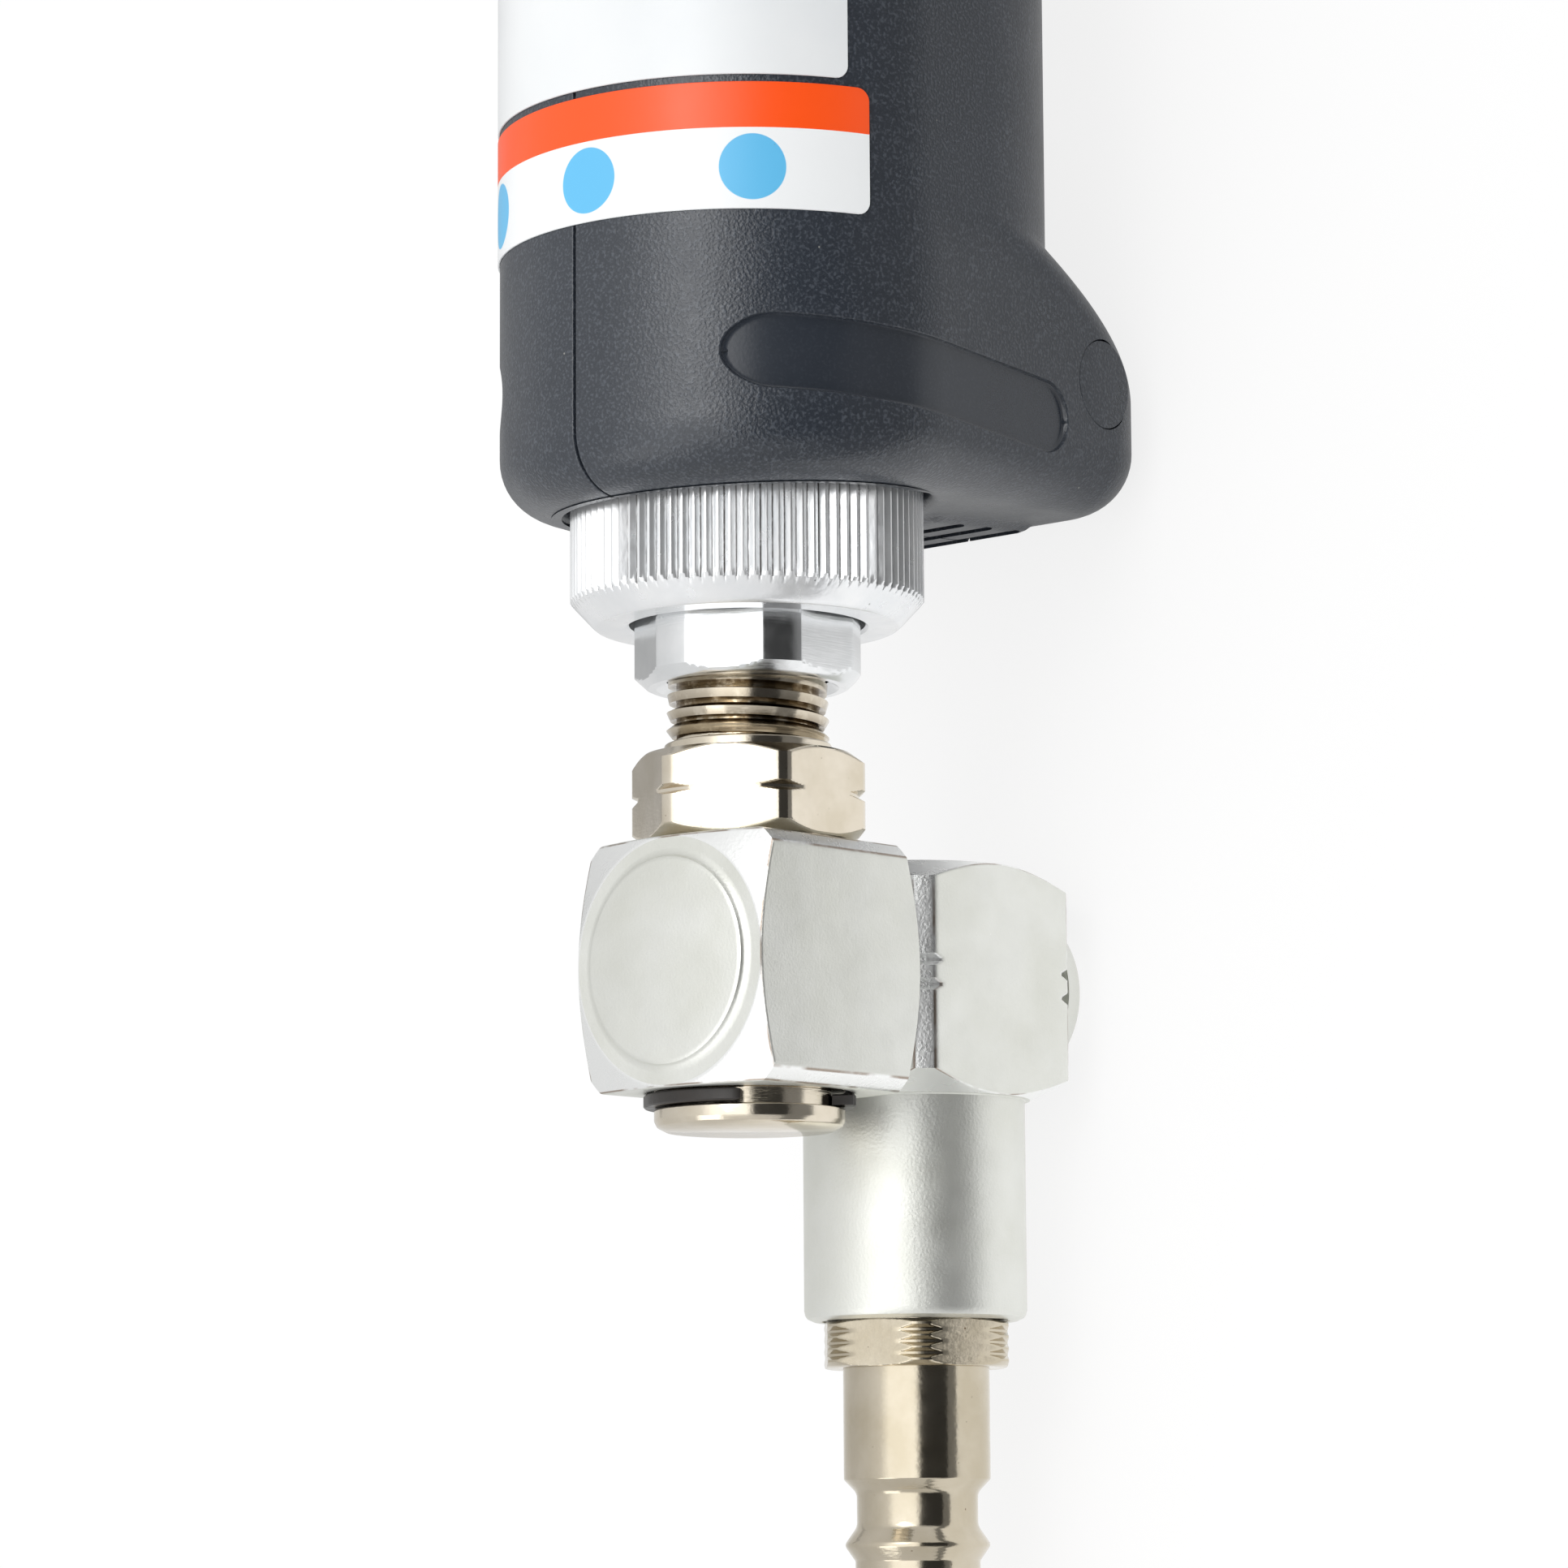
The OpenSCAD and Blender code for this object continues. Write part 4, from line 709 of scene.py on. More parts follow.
def gripHalf(name, side):
    g = grip
    q = g["rearEdge"]
    stations = []  # place, place of the section, inset
    for t in np.radians(np.linspace(90, 0, 14)):
        stations.append((g["rear"] + q - q * math.sin(t), g["rear"] + q, q - q * math.cos(t)))
    places = np.concatenate([
        np.arange(42.4, 52, 0.4), np.arange(52, 62, 0.5), np.arange(62, 66.5, 0.75),
        np.linspace(68, g["front"] - g["frontEdge"] - 1, 42),
    ])
    stations += [(a, a, 0.0) for a in places]
    q = g["frontEdge"]
    for t in np.radians(np.linspace(0, 90, 7)):
        stations.append((g["front"] - q + q * math.sin(t), g["front"], q - q * math.cos(t)))
    gap, edge = g["partingGap"] / 2, g["partingEdge"]
    outer = []
    for place, shape, inset in stations:
        ring = gripHalfRing(shape, inset, gap)
        y, z = ring[:, 0], ring[:, 1]
        lean = g["slant"] * beforeRamp(place, g["slantRun"])
        at = place - lean * z
        near = np.clip(1 - (y - gap) / edge, 0, 1)  # the edge at the parting line is rounded
        z = z - np.sign(z) * edge * (1 - np.sqrt(np.clip(1 - near ** 2, 0, 1)))
        outer.append(np.stack([at, np.maximum(y, gap), z], 1))
    outer = np.array(outer)
    last = outer[0]
    angle, radius = np.arctan2(last[:, 1], last[:, 2]), np.hypot(last[:, 1], last[:, 2])
    inner = []
    rim = g["recess"] + g["rimRound"]
    lip = [(t, rim - g["rimRound"] * math.sin(t)) for t in np.radians(np.linspace(0, 90, 7))]
    inside = [
        (g["recessEnd"], g["recess"]), (g["recessEnd"], g["shankHole"]), (g["bulkheadEnd"], g["shankHole"]),
        (g["bulkheadEnd"], g["cavity"]), (g["front"] - 0.6, g["cavity"]), (g["front"], g["cavity"] + 0.6),
    ]
    for a, r in [(None, share) for share in np.linspace(0.03, 0.97, 30)] + lip + inside:
        # across the rear face, round the recess's lip, and along the inner wall
        rr = radius + (rim - radius) * r if r < 1 else np.full(len(angle), r)
        y, z = np.maximum(rr * np.sin(angle), gap), rr * np.cos(angle)
        if a is None or r >= g["recess"] and a < 2:
            roundOff = 0.0 if a is None else g["rimRound"] * (1 - math.cos(a))
            place = g["rear"] - g["slant"] * z - padHeight(y, z) + roundOff
        else:
            place = np.full(len(z), a)
        inner.append(np.stack([place, y, z], 1))
    loops = np.concatenate([outer, np.array(inner)[::-1]]).transpose(1, 0, 2)
    return loft(name, list(loops * np.array([1, side, 1])))


def noseWay(side):  # square to the grip's skin, where a nose screw stands
    turn = math.radians(gripHoles["noseTurn"])
    return 0, side * math.sin(turn), math.cos(turn)


def gripCutters(side):
    h, v = gripHoles, louvres
    slot = roundedBox("slot", h["slotLow"], h["slotHigh"], h["slotCorner"], steps=6)
    cutters = [bevelled(slot, h["slotEdge"])]
    for u in v["depths"]:
        low, high = (34, -v["halfLength"], -u - v["halfWidth"]), (44.9, v["halfLength"], -u + v["halfWidth"])
        cutters.append(roundedBox("louvre", low, high, v["corner"], axis="x"))
    if side > 0:
        for a in h["screwPlaces"]:  # the housing screws go in from this side
            seat = (a, h["screwSeat"], -h["screwDepth"])
            cutters.append(turnedAlong("bore", rod(0, 12, h["screwBore"]), seat, (0, 1, 0), 0))
    way = noseWay(side)
    seat = (h["nosePlace"], h["noseSeat"] * way[1], h["noseSeat"] * way[2])
    cutters.append(turnedAlong("bore", rod(0, 4, h["noseBore"]), seat, way, 0))
    return cutters


def sidePeg(name, radius, low, high, side, fillet=0.0):  # square to the heel's flat side
    w, u, c = gripSection(sidePlug["place"])
    x, z = w - c, u - c
    lean = flatTurn(x, z, c)
    y0, z0 = grip["radius"] * math.sin(lean), grip["radius"] * math.cos(lean)
    y1, z1 = x + c * math.sin(lean), -z + c * math.cos(lean)
    y = y0 + (y1 - y0) * (-sidePlug["depth"] - z0) / (z1 - z0)
    way = (0, side * math.sin(lean), math.cos(lean))
    origin = (sidePlug["place"], side * y, -sidePlug["depth"])
    return turnedAlong(name, rod(low, high, radius), origin, way, fillet, 96)


for side, name in ((1, "housing_left"), (-1, "housing_right")):
    half = gripHalf("grip_half_left" if side > 0 else "grip_half_right", side)
    plugBore = sidePeg("bore", sidePlug["bore"], -2.5, 1.0, side)
    half = cutWith(half, gripCutters(side) + [panelCutter(side), plugBore])
    finishPiece(half, "tool", gripPlastic, [name], 28)
pegs = [sidePeg("plug", sidePlug["radius"], -2.4, -0.04, side, 0.12) for side in (-1, 1)]
plugs = joinAll("side_screw_plugs", pegs)
faceOut(plugs)
finishPiece(plugs, "tool", gripPlastic, ["screw_plugs"])
print("stage: grip housing made")


# Labels wrapped over the top of the grip: thin slabs with round corners, each with its own UV map
labelWrap = dict(radius=20.03, thickness=0.15, turn=4.5, corner=1.0)
typeLabel = dict(start=68.3, length=25.0, left=-61.5, right=66.3)
bandLabel = dict(start=57.5, length=10.2, left=-61.5, right=71.6)


def wrapLabel(name, look):
    inner, outer = labelWrap["radius"], labelWrap["radius"] + labelWrap["thickness"]
    low, high = math.radians(look["left"]), math.radians(look["right"])
    corner = labelWrap["corner"]
    ends = np.array([0, 0.02, 0.06, 0.14, 0.27, 0.45, 0.7, 1.0]) * corner / outer
    between = np.linspace(low + ends[-1], high - ends[-1], 150)[1:-1]
    angles = np.concatenate([low + ends, between, high - ends[::-1]])
    nearEnd = np.minimum(np.minimum(angles - low, high - angles) * outer, corner)
    back = corner - np.sqrt(np.maximum(corner ** 2 - (corner - nearEnd) ** 2, 0))
    across = np.linspace(0, 1, 15)
    edge = 0.05
    layers = []
    for r, pull in ((outer, edge), (outer - edge, 0.0), (inner, 0.0)):
        rows = []
        for k, t in enumerate(angles):
            first, last = look["start"] + back[k] + pull, look["start"] + look["length"] - back[k] - pull
            last = max(last, first + 0.002)
            a = first + (last - first) * across
            rows.append(np.stack([a, np.full(15, -r * math.sin(t)), np.full(15, r * math.cos(t))], 1))
        layers.append(np.array(rows))
    # one closed loop round the slab for every angle
    obj = loft(name, [np.concatenate([t, m[-1:], u[::-1], m[:1]]) for t, m, u in zip(*layers)])
    uv = obj.data.uv_layers.new(name="label")
    centre = math.radians(labelWrap["turn"])
    for face in obj.data.polygons:
        for k in face.loop_indices:
            p = obj.data.vertices[obj.data.loops[k].vertex_index].co * 1000
            t = math.atan2(-p.y, p.z - axisHeight)
            uv.data[k].uv = ((t - centre) * outer, p.x + middle - look["start"])
    return obj


finishPiece(wrapLabel("type_plate_label", typeLabel), "tool", labelWhite, ["type_label"], 40)
finishPiece(wrapLabel("banded_label", bandLabel), "tool", bandLabelFinish, ["band_label"], 40)
print("stage: labels wrapped")


# Geometry Nodes helpers: a tree with named inputs, and a modifier whose inputs are set by identifier
socketKinds = {float: "NodeSocketFloat", int: "NodeSocketInt", tuple: "NodeSocketVector"}


def startTree(name, given):  # given holds each input's name and the value that it starts with
    tree = bpy.data.node_groups.new(name, "GeometryNodeTree")
    for way in ("INPUT", "OUTPUT"):
        tree.interface.new_socket("Geometry", in_out=way, socket_type="NodeSocketGeometry")
    for label, value in given.items():
        entry = tree.interface.new_socket(label, in_out="INPUT", socket_type=socketKinds[type(value)])
        entry.default_value = value
    tree.interface.new_socket("Finish", in_out="INPUT", socket_type="NodeSocketMaterial")
    outputs = addNode(tree, "NodeGroupInput").outputs
    return tree, {item.name: Wire(item) for item in outputs if item.name}


def endTree(tree, given, geometry):  # every tree ends in real geometry with its finish
    real = addNode(tree, "GeometryNodeRealizeInstances", {0: geometry})
    paint = addNode(tree, "GeometryNodeSetMaterial", {
        "Geometry": Wire(real.outputs[0]), "Material": given["Finish"]})
    addNode(tree, "NodeGroupOutput", {0: Wire(paint.outputs[0])})
    return tree


def runTree(obj, tree, values):
    modifier = obj.modifiers.new(tree.name, "NODES")
    modifier.node_group = tree
    for item in tree.interface.items_tree:
        if item.in_out == "INPUT" and item.name in values:
            modifier[item.identifier] = values[item.name]
    return applyModifiers(obj)


def position(tree):
    return Wire(addNode(tree, "GeometryNodeInputPosition").outputs[0]).split()


def joinAxes(tree, *axes):
    return Wire(addNode(tree, "ShaderNodeCombineXYZ", dict(enumerate(axes))).outputs[0])


def movePoints(tree, geometry, *axes):
    entries = {"Geometry": geometry, "Position": joinAxes(tree, *axes)}
    return Wire(addNode(tree, "GeometryNodeSetPosition", entries).outputs[0])


def place(tree, geometry, where, rotation=(0, 0, 0)):
    entries = {"Geometry": geometry, "Translation": where, "Rotation": rotation}
    return Wire(addNode(tree, "GeometryNodeTransform", entries).outputs[0])


def sweptSpiral(tree, fine, turns, radius, height, section, sectionFine):  # a closed bar wound about z
    path = addNode(tree, "GeometryNodeCurveSpiral", {
        "Resolution": fine, "Rotations": turns, "Start Radius": radius, "End Radius": radius,
        "Height": height})
    ring = addNode(tree, "GeometryNodeCurvePrimitiveCircle", {"Resolution": sectionFine, "Radius": section})
    sweep = addNode(tree, "GeometryNodeCurveToMesh", {
        "Curve": Wire(path.outputs[0]), "Profile Curve": Wire(ring.outputs[0]), "Fill Caps": True})
    return Wire(sweep.outputs[0])


# Regulator collar: a turned blank, and a rolled knurl that a tree presses into its rim
collar = dict(
    start=27.7, end=42.0, radius=14.35, chamfer=1.35, bore=8.05, counterBore=9.55, counterDepth=3.0,
    teeth=92, toothDepth=0.42, flat=0.14, wear=0.12,
)


def knurlTree():
    tree, given = startTree("straightKnurl", {
        "Rim Radius": 0.014, "Axis Height": 0.033, "Tooth Count": 80, "Tooth Depth": 0.0005,
        "Flat Share": 0.2, "Wear": 0.1, "Seed": 7})
    x, y, z = position(tree)
    up = z - given["Axis Height"]
    radius = (y * y + up * up).root()
    turn = y.work("ARCTAN2", up) / (2 * pi)
    along = turn * given["Tooth Count"] + 100.0
    away = abs(along.work("FRACT") - 0.5) * 2.0  # 0 at a tooth's middle, 1 in the groove
    wave = ((away - given["Flat Share"]) / (1.0 - given["Flat Share"])).atLeast(0.0)
    chance = addNode(tree, "FunctionNodeRandomValue", {
        2: 0.0, 3: 1.0, "ID": along.work("FLOOR"), "Seed": given["Seed"]}, data_type="FLOAT")
    uneven = Wire(chance.outputs[1]) * given["Wear"] * given["Tooth Depth"]
    wanted = given["Rim Radius"] - (wave * given["Tooth Depth"] + uneven)
    share = radius.atMost(wanted) / radius.atLeast(1e-5)
    moved = (x, y * share, up * share + given["Axis Height"])
    return endTree(tree, given, movePoints(tree, given["Geometry"], *moved))


c = collar
rim = c["radius"]
slope = [(c["start"] + 1.6 * c["chamfer"] * k / 7, rim - c["chamfer"] * 1.5 * (1 - k / 7)) for k in range(8)]
back = [(c["end"] - 1.2 + 1.2 * k / 5, rim - 0.75 * k / 5) for k in range(6)]
counter = c["start"] + c["counterDepth"]
blank = [(counter, c["bore"]), (counter, c["counterBore"])]
blank += fromPlace(c["start"], (0.25, c["counterBore"]), (0, c["counterBore"] + 0.25), (0, slope[0][1] - 0.3),
                   (0, slope[0][1] - 0.12), (0.05, slope[0][1] - 0.02))
blank += slope[1:] + [(c["start"] + 2.6 + k * 1.7, rim) for k in range(6)] + back + [(c["end"], c["bore"])]
ring = turned("knurled_collar", blank, 0, segments=c["teeth"] * 12, bore=True)
runTree(ring, knurlTree(), {
    "Rim Radius": rim / 1000, "Axis Height": axisHeight / 1000, "Tooth Count": c["teeth"],
    "Tooth Depth": c["toothDepth"] / 1000, "Flat Share": c["flat"], "Wear": c["wear"], "Seed": 7,
    "Finish": knurledAluminium,
})
finishPiece(ring, "regulator", knurledAluminium, ["regulator_collar"], 24)
print("stage: regulator collar knurled")


def hexTurned(name, profile, flats, blend=0.12, segments=360, drop=0.0, bore=False, sides=6, phase=0.0,
              step=0.22, across=False):
    # a bar with flats and turned ends: the lesser of the profile's radius and the flats' distance
    line = [profile[0]]
    for (a, r), (nextA, nextR) in zip(profile, profile[1:] + ([profile[0]] if bore else [])):
        count = 1
        if max(r, nextR) > flats * 0.97:
            count = max(1, int(math.hypot(nextA - a, nextR - r) / step))
        for k in range(1, count + 1):
            line.append((a + (nextA - a) * k / count, r + (nextR - r) * k / count))
    if bore:
        line = line[:-1]
    angles = np.linspace(0, 2 * pi, segments, endpoint=False)
    sector = 2 * pi / sides
    turn = np.mod(angles - phase, sector) - sector / 2
    limit = flats / np.cos(turn)
    radii = []
    for a, r in line:
        cut = softMin(np.full(segments, r), limit, blend)
        radii.append(cut if r > flats * 0.9 else max(r, 0.0))
    return turnedMesh(name, line, radii, angles, drop, across, bore)


# Inlet bushing: hexagon with turned corners, and the shank that runs into the motor
bushing = dict(
    start=22.75, hexEnd=30.4, flats=8.6, corner=9.15, shank=8.0, shankEnd=58.0, thread=6.63, passage=5.0,
)
b = bushing
shape = fromPlace(b["start"], (10.5, b["passage"]), (10.5, b["thread"]), (0.7, b["thread"]),
                  (0, b["thread"] + 0.75), (0, 8.0), (0.12, 8.25), (0.95, b["corner"]))
shape += [(b["hexEnd"], b["corner"]), (b["hexEnd"], b["shank"])]
shape += fromPlace(b["shankEnd"], (-0.4, b["shank"]), (0, b["shank"] - 0.4), (0, b["passage"]))
nut = hexTurned("inlet_hex_bushing", shape, b["flats"], blend=0.05, bore=True)
finishPiece(nut, "tool", brightAluminium, ["inlet_bushing"], 20)

# Swivel stem: end disc, clip groove, plain bearing, nut, neck and a helical pipe thread
stem = dict(
    end=-13.0, disc=1.7, radius=7.65, groove=6.5, nutStart=10.15, nutEnd=17.2, flats=8.5, corner=9.55,
    notch=0.62, neckEnd=18.2, neck=6.75, threadRoot=5.75, threadCrest=6.58, pitch=1.337,
    threadEnd=31.7, bore=3.2,
)


def threadTree():  # a ridge that climbs along the tool's axis, and the core that it is cut from
    tree, given = startTree("pipeThread", {
        "Start": 0.0, "Length": 0.01, "Pitch": 0.0013, "Pitch Radius": 0.006, "Ridge Depth": 0.0008,
        "Axis Height": 0.033})
    ridge = sweptSpiral(tree, 72, given["Length"] / given["Pitch"], given["Pitch Radius"], given["Length"],
                        given["Ridge Depth"] * 0.62, 4)
    laid = place(tree, ridge, joinAxes(tree, given["Start"], 0.0, given["Axis Height"]), (0, pi / 2, 0))
    both = addNode(tree, "GeometryNodeJoinGeometry", {0: laid})
    feed(given["Geometry"], both.inputs[0])
    return endTree(tree, given, Wire(both.outputs[0]))


s = stem
core = fromPlace(s["end"], (0, 0), (0, s["radius"] - 0.9, 0.0), (0.35, s["radius"] - 0.22, 0.3),
                 (0.8, s["radius"], 0.4), (s["disc"], s["radius"], 0.15))
core += [(s["end"] + s["disc"] + 0.02, s["groove"], 0.1)]
core += fromPlace(s["end"] + 3.1, (0, s["groove"], 0.1), (0, s["radius"], 0.1))
core += fromPlace(s["nutStart"] + 0.3, (0, s["radius"]), (0, s["neck"]))
core += fromPlace(s["neckEnd"], (-0.1, s["neck"], 0.2), (0, s["threadRoot"]))
core += fromPlace(s["threadEnd"], (0, s["threadRoot"]), (0, s["bore"]), (-6, s["bore"]), (-6, 0))
body = turned("swivel_stem_core", core, 0.12, segments=160)
runTree(body, threadTree(), {
    "Start": (s["neckEnd"] + 0.2 - middle) / 1000, "Length": (s["threadEnd"] - s["neckEnd"] - 0.9) / 1000,
    "Pitch": s["pitch"] / 1000, "Pitch Radius": (s["threadRoot"] + 0.31) / 1000,
    "Ridge Depth": (s["threadCrest"] - s["threadRoot"]) / 1000, "Axis Height": axisHeight / 1000,
    "Finish": stemNickel,
})
mid = (s["nutStart"] + s["nutEnd"]) / 2
k = s["corner"]
nutShape = fromPlace(s["nutStart"], (0, 6.0), (0, k - 1.15), (0.15, k - 0.95), (0.85, k))
nutShape += fromPlace(mid, (-0.42, k), (-0.12, k - s["notch"]), (0.12, k - s["notch"]), (0.42, k))
nutShape += fromPlace(s["nutEnd"], (-0.85, k), (-0.15, k - 0.95), (0, k - 1.15), (0, 6.0))
stemNut = hexTurned("stem_nut", nutShape, s["flats"], blend=0.14, bore=True, step=0.14)
wholeStem = joinAll("swivel_stem_piece", [body, stemNut])
finishPiece(wholeStem, "tool", stemNickel, ["swivel_stem"], 30)
print("stage: bushing and stem made")


# Open rings that hold the blocks: plain bent wire of square section with a gap
clip = dict(inner=6.55, outer=8.5, thickness=1.0, gap=84.0, edge=0.12)


def openRing(name, place, gapMiddle, across=False):
    c = clip
    half = math.radians(c["gap"] / 2)
    start = math.radians(gapMiddle) + half
    angles = start + (2 * pi - 2 * half) * np.linspace(0, 1, 90)
    e, t = c["edge"], c["thickness"] / 2
    section = [(c["inner"] + e, -t), (c["outer"] - e, -t), (c["outer"], -t + e), (c["outer"], t - e),
               (c["outer"] - e, t), (c["inner"] + e, t), (c["inner"], t - e), (c["inner"], -t + e)]
    rings = []
    for k, angle in enumerate(angles):
        taper = e * (1 if k in (0, len(angles) - 1) else 0)  # the cut ends are eased
        pts = []
        for r, w in section:
            r = np.clip(r, c["inner"] + taper, c["outer"] - taper)
            w = np.clip(w, -t + taper, t - taper)
            cs, sn = math.cos(angle), math.sin(angle)
            pts.append((r * cs, r * sn, -(place + w)) if across else (place + w, -r * sn, r * cs))
        rings.append(np.array(pts))
    return loft(name, rings)


stemRing = openRing("stem_circlip", -10.65, 79.5)
finishPiece(stemRing, "tool", blackSpring, ["stem_clip"])
crossRing = openRing("cross_circlip", 30.4, -90.0, across=True)
finishPiece(crossRing, "swivel", blackSpring, ["cross_clip"])

# Swivel block: square bar with turned ends, a raised face above, the cross stem below
block = dict(
    half=9.45, flats=10.0, corner=13.3, slope=0.4452, rise=0.6, face=8.3, cross=7.65, crossEnd=32.75,
    groove=6.5, grooveStart=29.65, discStart=31.05, bore=7.75, recess=8.25, recessDepth=0.5,
    passage=4.5,
)
b = block
run = (b["corner"] - b["flats"]) * b["slope"]
upper = fromPlace(-b["half"] - b["rise"], (0, 0), (0, b["face"] - 0.42), (0.05, b["face"] - 0.24),
                  (0.15, b["face"] - 0.08), (0.3, b["face"]))
upper += [(-b["half"] + 0.02 - 0.2, b["face"] + 0.12)]
upper += fromPlace(-b["half"], (0.03, b["face"] + 0.55), (0.05, b["flats"]))
sides = [(-b["half"] + run, b["corner"]), (b["half"] - run, b["corner"]), (b["half"], b["flats"])]
lower = [(b["half"], b["cross"]), (b["grooveStart"], b["cross"]), (b["grooveStart"], b["groove"]),
         (b["discStart"], b["groove"]), (b["discStart"], b["cross"])]
lower += fromPlace(b["crossEnd"], (-0.5, b["cross"]), (-0.15, b["cross"] - 0.12),
                   (0, b["cross"] - 0.5), (0, 0))
swivel = hexTurned("swivel_block_form", upper + sides + lower, b["flats"], blend=0.26, sides=4, phase=pi / 4,
                   step=0.13, segments=480, across=True)
step = -b["flats"] + b["recessDepth"]
through = [(-14, 0), (-14, b["recess"]), (step, b["recess"]), (step + 0.15, b["bore"])]
through += fromPlace(b["flats"], (-0.25, b["bore"]), (0.5, b["bore"] + 0.75))
through += [(14, b["bore"] + 0.75), (14, 0)]
bores = [
    turned("bore", through, 0, 160),
    turned("passage", rod(-2, 28, b["passage"]), 0, 48, across=True),
]
cutWith(swivel, bores)
finishPiece(swivel, "swivel", swivelAluminium, ["swivel_block"], 26)

# Elbow block: the same bar laid along the tool, notched corners, and the tube that takes the plug
elbow = dict(
    half=9.45, flats=9.75, corner=12.8, endSlope=1.65, notch=0.5, tube=9.15, tubeEnd=-27.5, seat=6.55,
    sealSeat=7.6, bore=7.75,
)
e = elbow
c, n = e["corner"], e["notch"]
profile = fromPlace(e["tubeEnd"], (12, 0), (12, e["seat"]), (1.3, e["seat"]), (1.3, e["sealSeat"]),
                    (0.1, e["sealSeat"]), (0, e["sealSeat"] + 0.12), (0, e["tube"] - 0.8),
                    (0.25, e["tube"] - 0.25), (0.5, e["tube"] - 0.09), (0.9, e["tube"]))
profile += fromPlace(-e["half"], (-0.12, e["tube"]), (0, e["tube"] + 0.12), (0, e["flats"] - 0.2),
                     (e["endSlope"], c))
for at in (-1, 1):  # two grooves turned into the corners
    profile += fromPlace(at, (-n, c), (-0.12, c - n), (0.12, c - n), (n, c))
profile += fromPlace(e["half"], (-e["endSlope"], c), (0, e["flats"] - 0.2), (0, 0))
elbowForm = hexTurned("elbow_block_form", profile, e["flats"], blend=0.26, sides=4, phase=pi / 4, step=0.13,
                      segments=480, drop=elbowDrop)
rear, front = elbowDrop - e["flats"], elbowDrop + e["flats"]
through = fromPlace(rear, (-0.5, 0), (-0.5, e["bore"] + 0.75), (0.25, e["bore"]))
through += fromPlace(front, (-0.25, e["bore"]), (0.5, e["bore"] + 0.75), (0.5, 0))
bores = [turned("bore", through, 0, 160, across=True)]
cutWith(elbowForm, bores)
finishPiece(elbowForm, "elbow", elbowAluminium, ["elbow_block"], 26)
print("stage: swivel and elbow blocks made")

# Plug: sealing ring, grooved hexagon and the quick coupling profile, all on the elbow's axis
plug = dict(
    top=-27.55, hexEnd=-31.35, flats=7.4, corner=8.15, notch=0.45, pitch=0.95, body=6.0, neck=4.95,
    tip=5.0, end=-64.3, bore=3.7, shank=6.5, turn=44.1,
)
p = plug
k, v = p["corner"], p["notch"]
hexLine = fromPlace(p["top"], (0, 5.5), (0, k - 0.75), (-0.12, k - 0.35), (-0.3, k))
for row in (2, 1, 0):
    at = p["hexEnd"] + 1 + row * p["pitch"]
    hexLine += [(at + v * 0.9, k), (at + 0.1, k - v), (at - 0.1, k - v), (at - v * 0.9, k)]
hexLine += fromPlace(p["hexEnd"], (0.42, k), (0.12, k - 0.45), (0, k - 0.85), (0, 5.5))
hexPart = hexTurned("plug_hexagon", hexLine, p["flats"], blend=0.12, bore=True, step=0.12, drop=elbowDrop,
                    phase=math.radians(p["turn"]))
shaftLine = fromPlace(p["top"] + 10, (0, p["bore"]), (0, p["shank"], 0.4))
shaftLine += fromPlace(p["hexEnd"] + 0.5, (0, p["shank"]), (0, p["body"]))
shaftLine += fromPlace(p["hexEnd"] - 9, (0, p["body"], 0.3), (-1.1, p["neck"], 1.0), (-3.8, p["neck"], 1.2),
                       (-5.3, p["body"], 0.5), (-6.6, p["tip"] + 0.1, 0.3))
shaftLine += fromPlace(p["end"], (1, p["tip"], 0.5), (0, p["tip"] - 0.6, 0.15), (0, p["bore"] + 0.3, 0.1),
                       (0.3, p["bore"], 0.1))
shaft = turned("plug_shaft", shaftLine, 0.15, 160, drop=elbowDrop, bore=True)
wholePlug = joinAll("quick_coupling_plug", [shaft, hexPart])
finishPiece(wholePlug, "elbow", nickelPlate, ["plug_nipple"], 28)
sealLine = [(-27.4, 6.6), (-27.4, 7.5), (-26.3, 7.5), (-26.3, 6.6)]
seal = turned("plug_sealing_ring", sealLine, 0.12, 96, drop=elbowDrop, bore=True)
finishPiece(seal, "elbow", whiteSeal, ["plug_seal"])
print("stage: plug made")


